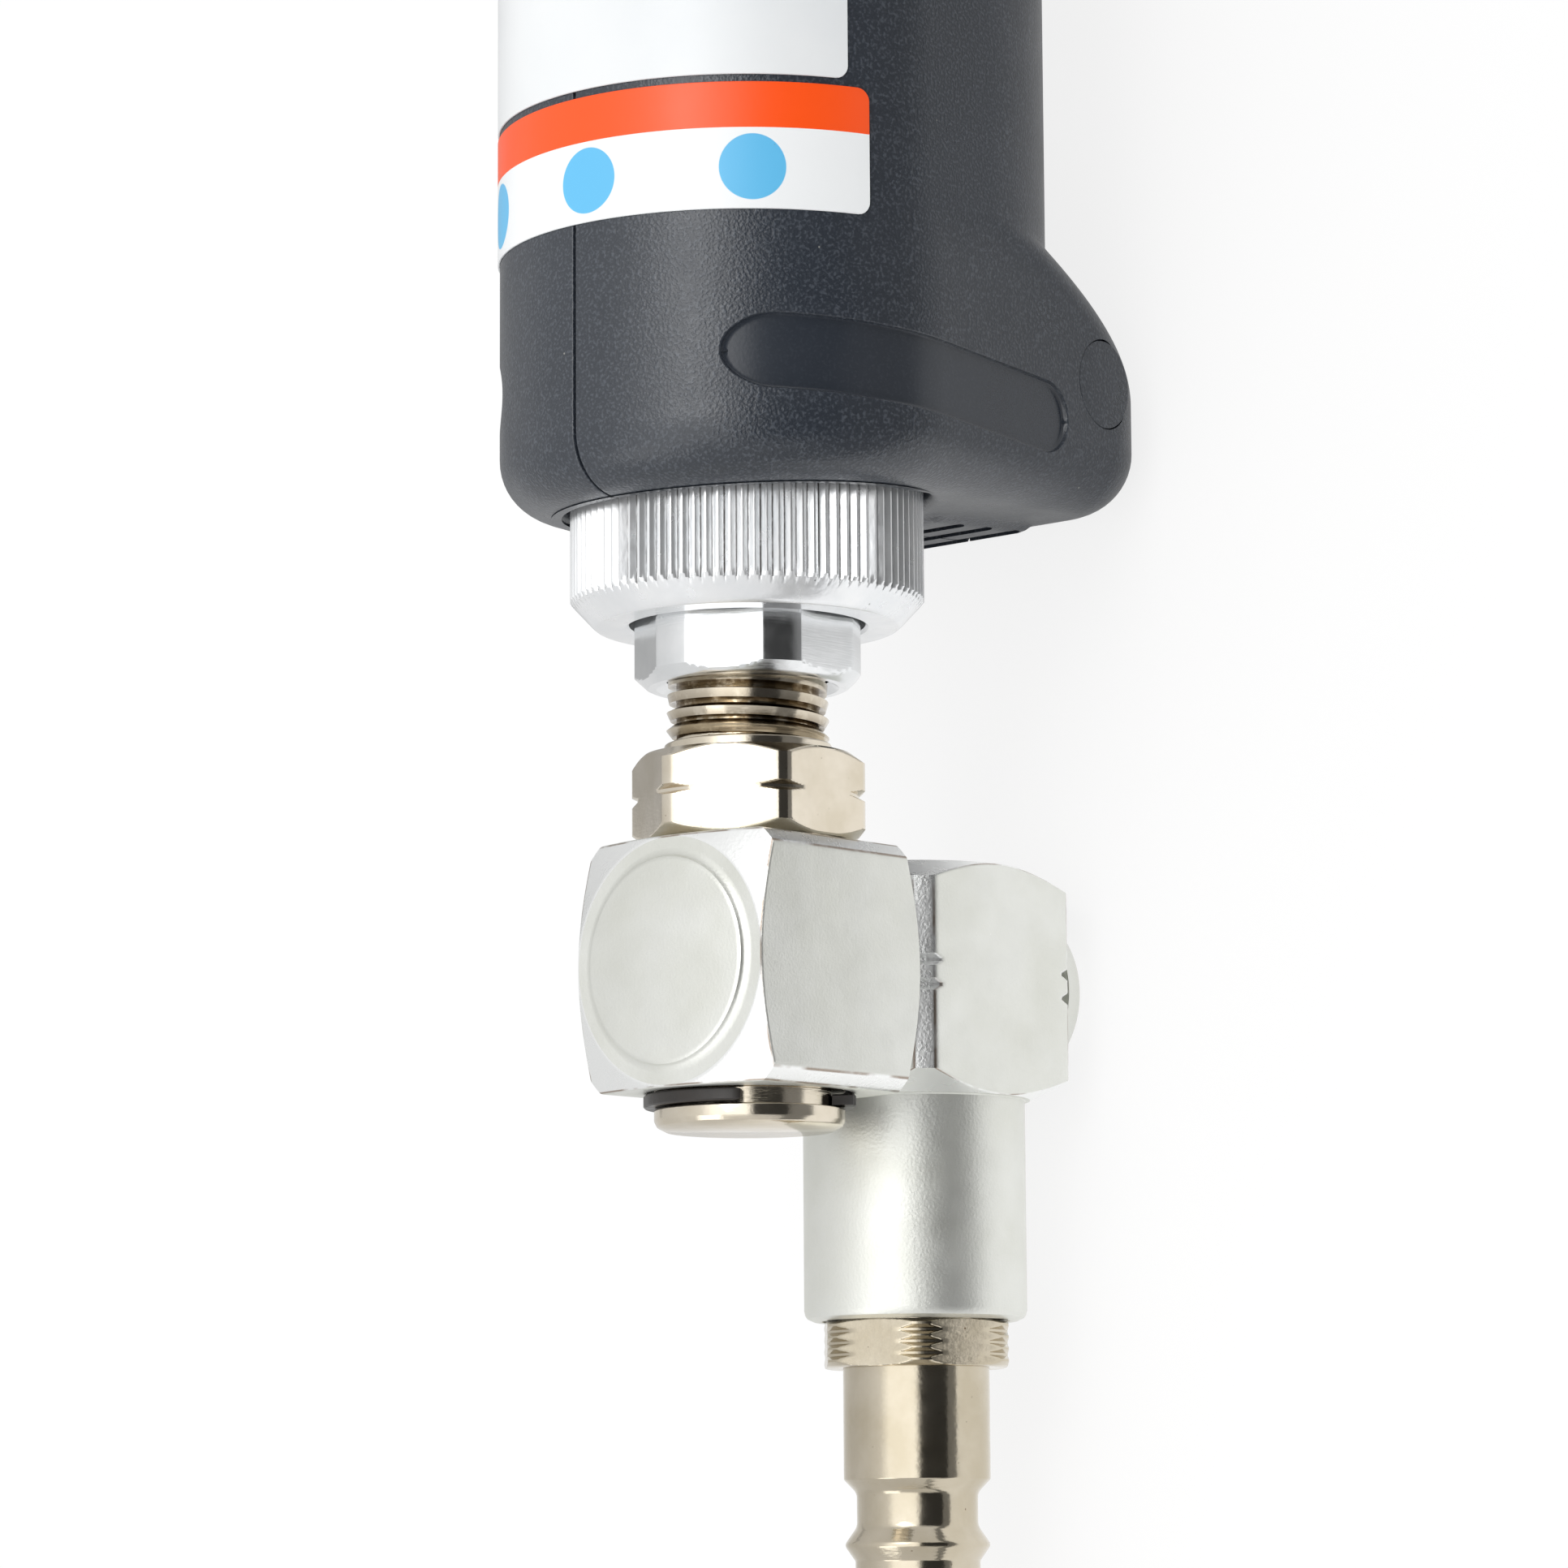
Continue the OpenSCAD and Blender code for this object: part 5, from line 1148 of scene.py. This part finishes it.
# Screws and rivets: one tree builds the fastener and sets it on every given point
def fastenerTree():
    tree, given = startTree("fastenerSet", {
        "Head Radius": 0.003, "Head Height": 0.002, "Edge": 0.0003, "Shank Radius": 0.0015,
        "Shank Length": 0.01, "Socket Radius": 0.001, "Socket Depth": 0.001})
    height, edge, length = (given[name] for name in ("Head Height", "Edge", "Shank Length"))

    def cylinder(radius, depth, middleZ, vertices, segments=1):
        node = addNode(tree, "GeometryNodeMeshCylinder", {
            "Vertices": vertices, "Side Segments": segments, "Radius": radius, "Depth": depth})
        return place(tree, Wire(node.outputs["Mesh"]), joinAxes(tree, 0.0, 0.0, middleZ))

    head = cylinder(given["Head Radius"], height, height * 0.5, 48, 12)
    x, y, z = position(tree)
    share = ((z - (height - edge)) / edge).atLeast(0.0).atMost(1.0)
    arc = 1.0 - (1.0 - share * share).root()
    drawIn = 1.0 - arc * edge / given["Head Radius"]
    head = movePoints(tree, head, x * drawIn, y * drawIn, z)
    overlap = length + height * 0.3
    shank = cylinder(given["Shank Radius"], overlap, overlap * 0.5 - length, 40)
    union = addNode(tree, "GeometryNodeMeshBoolean", {"Mesh 2": shank}, operation="UNION", solver="MANIFOLD")
    feed(head, union.inputs["Mesh 2"])
    hexagon = cylinder(given["Socket Radius"], given["Socket Depth"] * 2.0, height, 6)
    cut = addNode(tree, "GeometryNodeMeshBoolean", {"Mesh 1": Wire(union.outputs[0]), "Mesh 2": hexagon},
                  operation="DIFFERENCE", solver="MANIFOLD")
    ways = addNode(tree, "GeometryNodeInputNamedAttribute", {"Name": "way"}, data_type="FLOAT_VECTOR")
    turn = addNode(tree, "FunctionNodeAlignRotationToVector", {"Vector": Wire(ways.outputs[0])}, axis="Z")
    copies = addNode(tree, "GeometryNodeInstanceOnPoints", {
        "Points": given["Geometry"], "Instance": Wire(cut.outputs[0]), "Rotation": Wire(turn.outputs[0])})
    return endTree(tree, given, Wire(copies.outputs[0]))


fastenerForm = fastenerTree()
fastenerInputs = {
    "Head Radius": "head", "Head Height": "height", "Edge": "edge", "Shank Radius": "shank",
    "Shank Length": "length", "Socket Radius": "socket", "Socket Depth": "socketDepth",
}


def fasteners(name, heads, ways, look, material, body, replaced):
    obj = makeObject(name, heads, [])
    attribute = obj.data.attributes.new("way", "FLOAT_VECTOR", "POINT")
    for k, way in enumerate(ways):
        attribute.data[k].vector = way
    values = {label: look[key] / 1000 for label, key in fastenerInputs.items()}
    runTree(obj, fastenerForm, {**values, "Finish": material})
    return finishPiece(obj, body, material, replaced, 30)


housingScrew = dict(head=2.2, height=2.0, edge=0.3, shank=1.25, length=22.0, socket=1.25, socketDepth=1.1)
headScrew = dict(
    head=2.6, height=1.35, edge=0.35, shank=1.45, length=7.3, socket=1.3, socketDepth=0.8, seat=18.45,
)
shoeScrew = dict(head=3.5, height=2.4, edge=0.45, shank=1.96, length=10.6, socket=1.7, socketDepth=1.4)
chuckScrew = dict(head=1.74, height=2.6, edge=0.2, shank=1.4, length=3.6, socket=0.95, socketDepth=1.8)
shoeRivet = dict(head=3.0, height=0.97, edge=0.85, shank=1.8, length=4.95, socket=0.4, socketDepth=0.0001)
heads = [(a, gripHoles["screwSeat"], -gripHoles["screwDepth"]) for a in gripHoles["screwPlaces"]]
fasteners("grip_screws", heads, [(0, 1, 0)] * 4, housingScrew, blackScrew, "tool",
          ["housing_screws"])
outward = [noseWay(side) for side in (1, -1)]
heads = [(gripHoles["nosePlace"], headScrew["seat"] * w[1], headScrew["seat"] * w[2]) for w in outward]
fasteners("nose_screws", heads, outward, headScrew, blackScrew, "tool", ["head_screws"])
# Nose: turned head with a flat below, and the pad that carries the shoe
nose = dict(
    plug=16.45, start=151.1, face=172.4, base=19.2, shoulder=175.3, end=202.3, tip=13.0, flat=19.0,
    padHalf=8.0, padEnd=206.35, padTop=10.1, bore=8.6, seat=12.65, seatEnd=165.1, sweep=26.0,
    shoePlaces=(185.85, 201.35), shoeBore=2.02, screwSeat=11.0, screwBore=1.52, fine=288,
)
n = nose
curve = [(n["shoulder"] + n["sweep"] * math.sin(t), n["base"] - (n["base"] - n["tip"]) * (1 - math.cos(t)))
         for t in np.radians(np.linspace(4, 90, 26))]
line = fromPlace(n["start"], (0, n["seat"]), (0, n["plug"] - 0.3), (0.3, n["plug"]))
line += fromPlace(n["face"], (0, n["plug"]), (0, n["base"] - 0.25), (0.07, n["base"] - 0.07),
                  (0.25, n["base"]))
line += fromPlace(n["shoulder"], (-0.05, n["base"]), (0, n["base"] - 0.05))
line += curve[:-1] + [(curve[-1][0], n["tip"] - 0.05)]
line += fromPlace(n["end"], (-0.55, n["tip"] - 0.3), (-0.12, n["tip"] - 0.75), (0, n["tip"] - 1.1),
                  (0, n["bore"] + 0.4), (-0.4, n["bore"]))
line += [(n["seatEnd"], n["bore"]), (n["seatEnd"], n["seat"])]
angles = np.linspace(0, 2 * pi, n["fine"], endpoint=False)
below = np.where(np.cos(angles) < -0.3, n["flat"] / np.maximum(-np.cos(angles), 0.3), 90.0)
radii = []
for a, r in line:  # the flat below cuts the head, not the plug behind it
    cut = softMin(np.full(n["fine"], r), below, 0.3)
    radii.append(cut if r > n["plug"] and a > n["face"] - 0.01 else r)
nosePiece = turnedMesh("nose_casting", line, radii, angles, bore=True, merge=0.0)
low = (n["shoulder"] + 2, -n["padHalf"], -n["flat"] + 0.004)
pad = roundedBox("pad", low, (n["padEnd"], n["padHalf"], -n["padTop"]), 1.6, 6)
pad = bevelled(pad, 0.7, 4)
nosePiece = cutWith(nosePiece, [pad], "UNION")
bores = [turned("bore", rod(n["seatEnd"] - 3, 210, n["bore"]), 0, 128)]
for a in n["shoePlaces"]:
    bores.append(turnedAlong("bore", rod(0, 8.0, n["shoeBore"]), (a, 0, -n["flat"] - 0.5), (0, 0, 1), 0))
for way in outward:
    seat = (gripHoles["nosePlace"], n["screwSeat"] * way[1], n["screwSeat"] * way[2])
    bores.append(turnedAlong("bore", rod(0, 8.5, n["screwBore"]), seat, way, 0))
cutWith(nosePiece, bores)
finishPiece(nosePiece, "tool", satinAluminium, ["front_head"], 30)

# Throttle lever: plate rolled round its pin, with a lip at the tip
lever = dict(
    pin=68.3, pinDepth=22.8, barrel=2.2, pinBore=1.55, width=14.0, length=84.0, half=1.5, lip=0.9,
    letDown=5.0,
)
v = lever
h, tip = v["half"], v["length"]
under = -h - v["lip"]
barrelTurns = np.radians(np.linspace(45, 315, 28))
outline = [(v["barrel"] * math.cos(t), v["barrel"] * math.sin(t)) for t in barrelTurns]
outline += [(3.2, -h - 0.05), (4.4, -h)]
outline += fromPlace(tip, (-16, -h), (-14, -h - 0.1), (-11, under + 0.1), (-9, under), (-1.6, under),
                     (-0.9, under + 0.2), (-0.3, under + 0.8), (0, -h + 0.7), (0, h - 1.3),
                     (-0.6, h - 0.5), (-2, h))
outline += [(4.4, h), (3.2, h + 0.05)]
turn = math.radians(v["letDown"])
c, s = math.cos(turn), math.sin(turn)
rings = []
for y in (-v["width"] / 2, v["width"] / 2):
    ring = [(v["pin"] + px * c + pz * s, y, -v["pinDepth"] - px * s + pz * c) for px, pz in outline]
    rings.append(np.array(ring))
leverPiece = bevelled(loft("throttle_lever_plate", rings), 0.45, 4, 50)
hole = turnedAlong("bore", rod(0, 20, v["pinBore"]), (v["pin"], -10, -v["pinDepth"]), (0, 1, 0), 0)
cutWith(leverPiece, [hole])
finishPiece(leverPiece, "lever", brightAluminium, ["throttle_lever"], 30)
# Blade chuck on the ram, with its slot and two grub screws
chuck = dict(
    start=190.3, end=212.3, radius=8.0, ram=5.02, ramEnd=194.0, slotStart=197.2, slotHalf=0.4,
    slotHeight=6.55, screws=3.6, screwPlace=208.3, screwBore=1.77, screwSeat=4.0,
)
q = chuck
shape = fromPlace(q["start"], (0, 0), (0, q["radius"], 0.6), (6, q["radius"]), (6.3, q["radius"] - 0.3, 0.1),
                  (7, q["radius"] - 0.3, 0.1), (7.3, q["radius"]))
shape += fromPlace(q["end"], (0, q["radius"], 1.0), (0, 0))
chuckPiece = turned("blade_chuck_body", shape, 0.3, 160)
low = (q["slotStart"], -q["slotHalf"], -q["slotHeight"])
high = (q["end"] + 1, q["slotHalf"], q["slotHeight"])
cutters = [roundedBox("slot", low, high, 0.1, 2)]
cutters.append(turned("bore", rod(q["start"] - 1, q["ramEnd"], q["ram"]), 0, 64))
screwHeights = (q["screws"], -q["screws"])
for z in screwHeights:
    origin = (q["screwPlace"], -0.38, z)
    cutters.append(turnedAlong("bore", rod(0, 9, q["screwBore"]), origin, (0, -1, 0), 0))
cutWith(chuckPiece, cutters)
finishPiece(chuckPiece, "ram", machinedSteel, ["blade_chuck"], 28)
heads = [(q["screwPlace"], -q["screwSeat"], z) for z in screwHeights]
fasteners("chuck_grub_screws", heads, [(0, -1, 0)] * 2, chuckScrew, blackScrew, "ram",
          ["chuck_screws"])
print("stage: nose, lever and chuck made")


# Blade: a plate whose lower edge a tree cuts into teeth and sets to both sides
saw = dict(
    start=197.3, end=287.3, half=6.5, thick=0.7, pitch=1.4, depth=0.8, setWidth=0.1, rake=0.3,
    tipRise=0.5, tipSlant=3.0,
)


def toothTree():
    tree, given = startTree("sawTeeth", {
        "First": 0.1, "Last": 0.2, "Pitch": 0.0014, "Tooth Depth": 0.0008, "Set": 0.0001,
        "Edge Height": 0.0268, "Rake Share": 0.3})
    x, y, z = position(tree)
    along = (x - given["First"]) / given["Pitch"]
    phase = (along + 1e-4).work("FRACT")
    rake = given["Rake Share"]
    shape = (phase / rake).atMost((1.0 - phase) / (1.0 - rake))
    chosen = x.above(given["First"]) * x.below(given["Last"]) * z.below(given["Edge Height"] + 2e-5)
    lift = shape * given["Tooth Depth"] * chosen
    swing = (along * (pi / 3)).work("SINE") * given["Set"] * chosen
    return endTree(tree, given, movePoints(tree, given["Geometry"], x, y + swing, z + lift))


w = saw
teeth = int((w["end"] - w["start"] - 15 - 6) / w["pitch"])
firstTooth = w["end"] - 2 - teeth * w["pitch"]
places = [w["start"]] + list(firstTooth + w["pitch"] * 0.1 * np.arange(teeth * 10 + 1)) + [w["end"]]
heights = [-w["half"], -w["half"] + 1.6, 0.0, w["half"]]
rings = []
for a in places:
    top = w["half"] - max(0.0, (a - w["end"] + w["tipSlant"]) / w["tipSlant"] * (2 * w["half"] - 0.5))
    low = -w["half"] + (w["tipRise"] if a == w["end"] else 0.0)
    levels = [low] + [min(h, top) if h < w["half"] else top for h in heights[1:]]
    levels = np.maximum.accumulate(np.array(levels) + np.arange(4) * 1e-3)
    t = w["thick"] / 2
    rings.append(np.array([(a, -t, h) for h in levels] + [(a, t, h) for h in levels[::-1]]))
bladePiece = loft("saw_blade", rings)
runTree(bladePiece, toothTree(), {
    "First": (firstTooth - middle) / 1000, "Last": (firstTooth + teeth * w["pitch"] - middle) / 1000,
    "Pitch": w["pitch"] / 1000, "Tooth Depth": w["depth"] / 1000, "Set": w["setWidth"] / 1000,
    "Edge Height": (axisHeight - w["half"]) / 1000, "Rake Share": w["rake"], "Finish": bladeSteel,
})
finishPiece(bladePiece, "ram", bladeSteel, ["blade"], 25)

# Shoe: slotted arm with a bent flange, plate, rivets, screws and washers
shoe = dict(
    armStart=177.1, armEnd=227.1, armHalf=8.0, armLow=21.55, sheet=2.5, flange=13.0, bendOuter=0.9,
    bendInner=0.8, slotLength=12.5, slotRadius=2.25, front=229.6, half=17.0, depth=33.3, top=13.0,
    corner=4.0, slotHalf=1.5, slotLow=8.0, rivetY=5.0, rivetZ=14.05, rivetBore=1.82, washer=4.2,
    washerBore=2.05, washerThick=0.8,
)
s = shoe
low, high, end, sheet = -s["armLow"], -s["armLow"] + s["sheet"], s["armEnd"], s["sheet"]
flangeTop = low + s["flange"]
outline = [(s["armStart"], low), (end, low, s["bendOuter"]), (end, flangeTop), (end - sheet, flangeTop),
           (end - sheet, high, s["bendInner"]), (s["armStart"], high)]
rounded = roundedProfile(outline, 0, 6)
rings = [np.array([(px, y, pz) for px, pz in rounded]) for y in (-s["armHalf"], s["armHalf"])]
armPiece = bevelled(loft("shoe_slide_arm", rings), 0.3, 3, 50)


def rivetBores(start, stop):
    bores = []
    for y in (-shoe["rivetY"], shoe["rivetY"]):
        bore = turned("bore", rod(start, stop, shoe["rivetBore"]), 0, 40)
        bore.data.transform(Matrix.Translation((0, y / 1000, -shoe["rivetZ"] / 1000)))
        bores.append(bore)
    return bores


cutters = []
for a in nose["shoePlaces"]:
    reach, r = s["slotLength"] / 2, s["slotRadius"]
    cutters.append(roundedBox("slot", (a - reach, -r, low - 1), (a + reach, r, high + 1), r - 0.01, 10))
cutWith(armPiece, cutters + rivetBores(end - 4, end + 1))
finishPiece(armPiece, "shoe", zincSteel, ["shoe_arm"], 30)
lowCorner, highCorner = (end + 0.01, -s["half"], -s["depth"]), (s["front"], s["half"], s["top"])
plate = roundedBox("shoe_front_plate", lowCorner, highCorner, s["corner"], 12, "x")
plate = bevelled(plate, 0.45, 4)
lowCorner = (end - 1, -s["slotHalf"], -s["slotLow"])
slot = roundedBox("slot", lowCorner, (s["front"] + 1, s["slotHalf"], s["top"] + 3), 1.2, 6, "x")
cutWith(plate, [slot] + rivetBores(end - 1, end + 4))
finishPiece(plate, "shoe", zincSteel, ["shoe_plate"], 30)
heads = [(end - sheet, y, -s["rivetZ"]) for y in (-s["rivetY"], s["rivetY"])]
fasteners("shoe_plate_rivets", heads, [(-1, 0, 0)] * 2, shoeRivet, zincSteel, "shoe",
          ["shoe_rivets"])
washerTop = s["armLow"] + 0.05
heads = [(a, 0, -washerTop - s["washerThick"]) for a in nose["shoePlaces"]]
fasteners("shoe_clamp_screws", heads, [(0, 0, -1)] * 2, shoeScrew, blackScrew, "tool",
          ["shoe_screws"])
section = [(0, s["washerBore"]), (0, s["washer"]), (s["washerThick"], s["washer"]),
           (s["washerThick"], s["washerBore"])]
washers = [turnedAlong("washer", section, (a, 0, -washerTop), (0, 0, -1), 0.15, 64, bore=True)
           for a in nose["shoePlaces"]]
washerPair = joinAll("shoe_washer_pair", washers)
finishPiece(washerPair, "tool", zincSteel, ["shoe_washers"], 30)
print("stage: blade and shoe made")


# Throttle spring: a round wire coil, built at one length; in the tool it shortens as the lever lifts the
# valve
spring = dict(at=84.3, low=-1.6, high=8.9, radius=3.2, wire=0.8, turns=5.0, lift=1.4)


def coilTree():
    tree, given = startTree("throttleCoil", {
        "Wire Radius": 0.0004, "Coil Radius": 0.003, "Turns": 5.0, "Height": 0.01, "Place": (0.0, 0.0, 0.0)})
    wound = sweptSpiral(tree, 40, given["Turns"], given["Coil Radius"], given["Height"],
                        given["Wire Radius"], 12)
    return endTree(tree, given, place(tree, wound, given["Place"]))


coil = makeObject("throttle_coil_spring", [], [], place=False)
runTree(coil, coilTree(), {
    "Wire Radius": spring["wire"] / 2000, "Coil Radius": spring["radius"] / 1000, "Turns": spring["turns"],
    "Height": (spring["high"] - spring["low"] - spring["wire"]) / 1000,
    "Place": ((spring["at"] - middle) / 1000, 0.0, (axisHeight + spring["low"] + spring["wire"] / 2) / 1000),
    "Finish": machinedSteel,
})
finishPiece(coil, "tool", machinedSteel, ["throttle_spring"])
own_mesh(coil)

# CAD nodes that stay, each with its own finish
keptNodes = dict(
    valve_block=satinAluminium, throttle_bushing=bronze, throttle_stem=machinedSteel,
    lever_pin=machinedSteel, cylinder_cap=machinedSteel, cylinder=machinedSteel,
    rear_buffer=blackRubber, front_buffer=blackRubber, piston_and_ram=machinedSteel, piston_rings=bronze,
    ram_bushing=bronze, ram_seal=blackRubber, exhaust_muffler=greyFelt, inlet_screen=bronze,
    bushing_o_ring=blackRubber, stem_o_rings=blackRubber, cross_o_rings=blackRubber,
)
for name, material in keptNodes.items():
    nodes[name].data.materials.clear()
    nodes[name].data.materials.append(material)
print("stage: inner pieces finished")


# Camera at the photograph's viewing angle: it hangs beside the inlet, with the blade end up
view = dict(place=-49.0, away=447.3, right=8.04, pitch=8.14, roll=0.35, yaw=-0.66, focal=6919, frame=1932,
            sensor=36)
towards = Vector((0, -0.663, 0.749)).normalized()
sideways = Vector((0, -0.749, -0.663)).normalized()
upward = Vector((1, 0, 0))
pitch, roll, yaw = (math.radians(view[key]) for key in ("pitch", "roll", "yaw"))
level = sideways * math.sin(yaw) - towards * math.cos(yaw)
rightward = sideways * math.cos(yaw) + towards * math.sin(yaw)
forward = level * math.cos(pitch) + upward * math.sin(pitch)
above = rightward.cross(forward)
cameraRight = rightward * math.cos(roll) - above * math.sin(roll)
cameraUp = rightward * math.sin(roll) + above * math.cos(roll)
camera = bpy.data.objects.new("camera", bpy.data.cameras.new("camera"))
scene.collection.objects.link(camera)
camera.data.sensor_width = view["sensor"]
camera.data.lens = view["focal"] / view["frame"] * view["sensor"]
camera.data.clip_start, camera.data.clip_end = 0.01, 50
spot = Vector(toRow([[view["place"], 0, 0]])[0]) + (towards * view["away"] + sideways * view["right"]) / 1000
camera.matrix_world = Matrix.Translation(spot) @ Matrix(
    (cameraRight, cameraUp, -forward)).transposed().to_4x4()
scene.camera = camera

# Studio: a pale surround whose strength follows the turn about the tool's axis from the camera's side,
# with a bright panel to the left of the camera and a dark one to its right for the metal to show
studio = dict(
    stops=((-180, 0.72), (-115, 0.72), (-85, 0.82), (-60, 1.0), (-45, 1.7), (-3, 1.75), (2, 0.9),
           (6, 0.05), (62, 0.04), (66, 0.4), (71, 0.8), (180, 0.78)),
    brightest=2.0, reachFrom=0.55, reachTo=0.75, ends=0.8, floorShare=0.82,
    floorStops=((-0.07, 0.05), (-0.06, 0.1), (-0.053, 1.0), (0.0, 0.98), (0.05, 0.6)),
    floorStep=(-0.085, -0.077), underBlocks=1.15, underGrip=0.55,
)
world = bpy.data.worlds.new("studio")
scene.world = world
world.use_nodes = True
sky = world.node_tree
background = sky.nodes["Background"]
where = Wire(addNode(sky, "ShaderNodeTexCoord").outputs["Generated"])


def seenRays(tree):  # what the camera sees straight or through something, and what is mirrored
    rays = addNode(tree, "ShaderNodeLightPath").outputs
    kinds = ("Camera", "Transmission", "Glossy")
    straight, through, glossy = (Wire(rays["Is %s Ray" % kind]) for kind in kinds)
    return straight.atLeast(through), glossy


def alongWay(way):  # how far a direction of the surround reaches along another
    node = addNode(sky, "ShaderNodeVectorMath", {0: where, 1: tuple(way)}, operation="DOT_PRODUCT")
    return Wire(node.outputs["Value"])


turnFromCamera = alongWay(sideways).work("ARCTAN2", alongWay(towards)) / (2 * pi) + 0.5
ramp = addNode(sky, "ShaderNodeValToRGB", {0: turnFromCamera})
points = ramp.color_ramp.elements
while len(points) < len(studio["stops"]):
    points.new(0.5)
for point, (degrees, level) in zip(points, studio["stops"]):
    point.position = degrees / 360 + 0.5
for point, (degrees, level) in zip(points, studio["stops"]):
    shade = level / studio["brightest"]
    point.color = (shade, shade, shade, 1)
strength = Wire(ramp.outputs[0]) * studio["brightest"]
steep = abs(alongWay(upward)).spread(studio["reachFrom"], studio["reachTo"], 0.0, 1.0)
for share, level in ((steep, studio["ends"]), (seenRays(sky)[0], 1.0)):
    strength = Wire(addNode(sky, "ShaderNodeMix", {0: share, 2: strength, 3: level}).outputs[0])
feed(strength, background.inputs["Strength"])
background.inputs["Color"].default_value = (1, 1, 1, 1)

floor = makeObject("floor", [(-3, -3, 0), (3, -3, 0), (3, 3, 0), (-3, 3, 0)], [(0, 1, 2, 3)], place=False)
floorPaint = bpy.data.materials.new("floorPaint")
floorPaint.use_nodes = True
paint = floorPaint.node_tree
floorShader = paint.nodes["Principled BSDF"]
floorShader.inputs["Base Color"].default_value = (0.9, 0.9, 0.9, 1)
floorShader.inputs["Roughness"].default_value = 0.8
seen, glossy = seenRays(paint)
x, y, _ = Wire(addNode(paint, "ShaderNodeTexCoord").outputs["Object"]).split()
mirrored = 0.0
for (low, lowLevel), (high, highLevel) in zip(studio["floorStops"], studio["floorStops"][1:]):
    mirrored = y.spread(low, high, 0.0, highLevel - lowLevel) + mirrored
along = x.spread(*studio["floorStep"], studio["underBlocks"], studio["underGrip"])
mirrored = (mirrored + studio["floorStops"][0][1]) * along * (1.0 - seen)
glow = addNode(paint, "ShaderNodeEmission", {"Strength": mirrored + seen})  # plain white to the camera
shown = seen.atLeast(glossy) * studio["floorShare"]
blendOut = addNode(paint, "ShaderNodeMixShader", {
    0: shown, 1: Wire(floorShader.outputs[0]), 2: Wire(glow.outputs[0])})
feed(Wire(blendOut.outputs[0]), paint.nodes["Material Output"].inputs["Surface"])
floor.data.materials.append(floorPaint)

lampAim = Vector((-0.08, 0, 0.03))  # the row's point that every lamp faces
lamps = [  # place and size in metres, power in watts
    dict(name="keyLamp", at=(0.5, -0.3, 1.1), size=(0.6, 0.6), power=1.2),
    dict(name="gripLamp", at=(0.07, -0.176, 0.61), size=(0.2, 0.2), power=0.28),
    dict(name="lowLamp", at=(-0.9, 0.25, 0.8), size=(0.5, 0.5), power=1.0),
]
for lamp in lamps:
    light = bpy.data.lights.new(lamp["name"], "AREA")
    light.shape = "RECTANGLE"
    light.size, light.size_y = lamp["size"]
    light.energy = lamp["power"]
    holder = bpy.data.objects.new(lamp["name"], light)
    scene.collection.objects.link(holder)
    aim = lampAim - Vector(lamp["at"])
    turn = aim.to_track_quat("-Z", "Y").to_matrix().to_4x4()
    holder.matrix_world = Matrix.Translation(Vector(lamp["at"])) @ turn
scene.view_settings.view_transform = "Standard"
print("stage: camera, lamps and floor set")
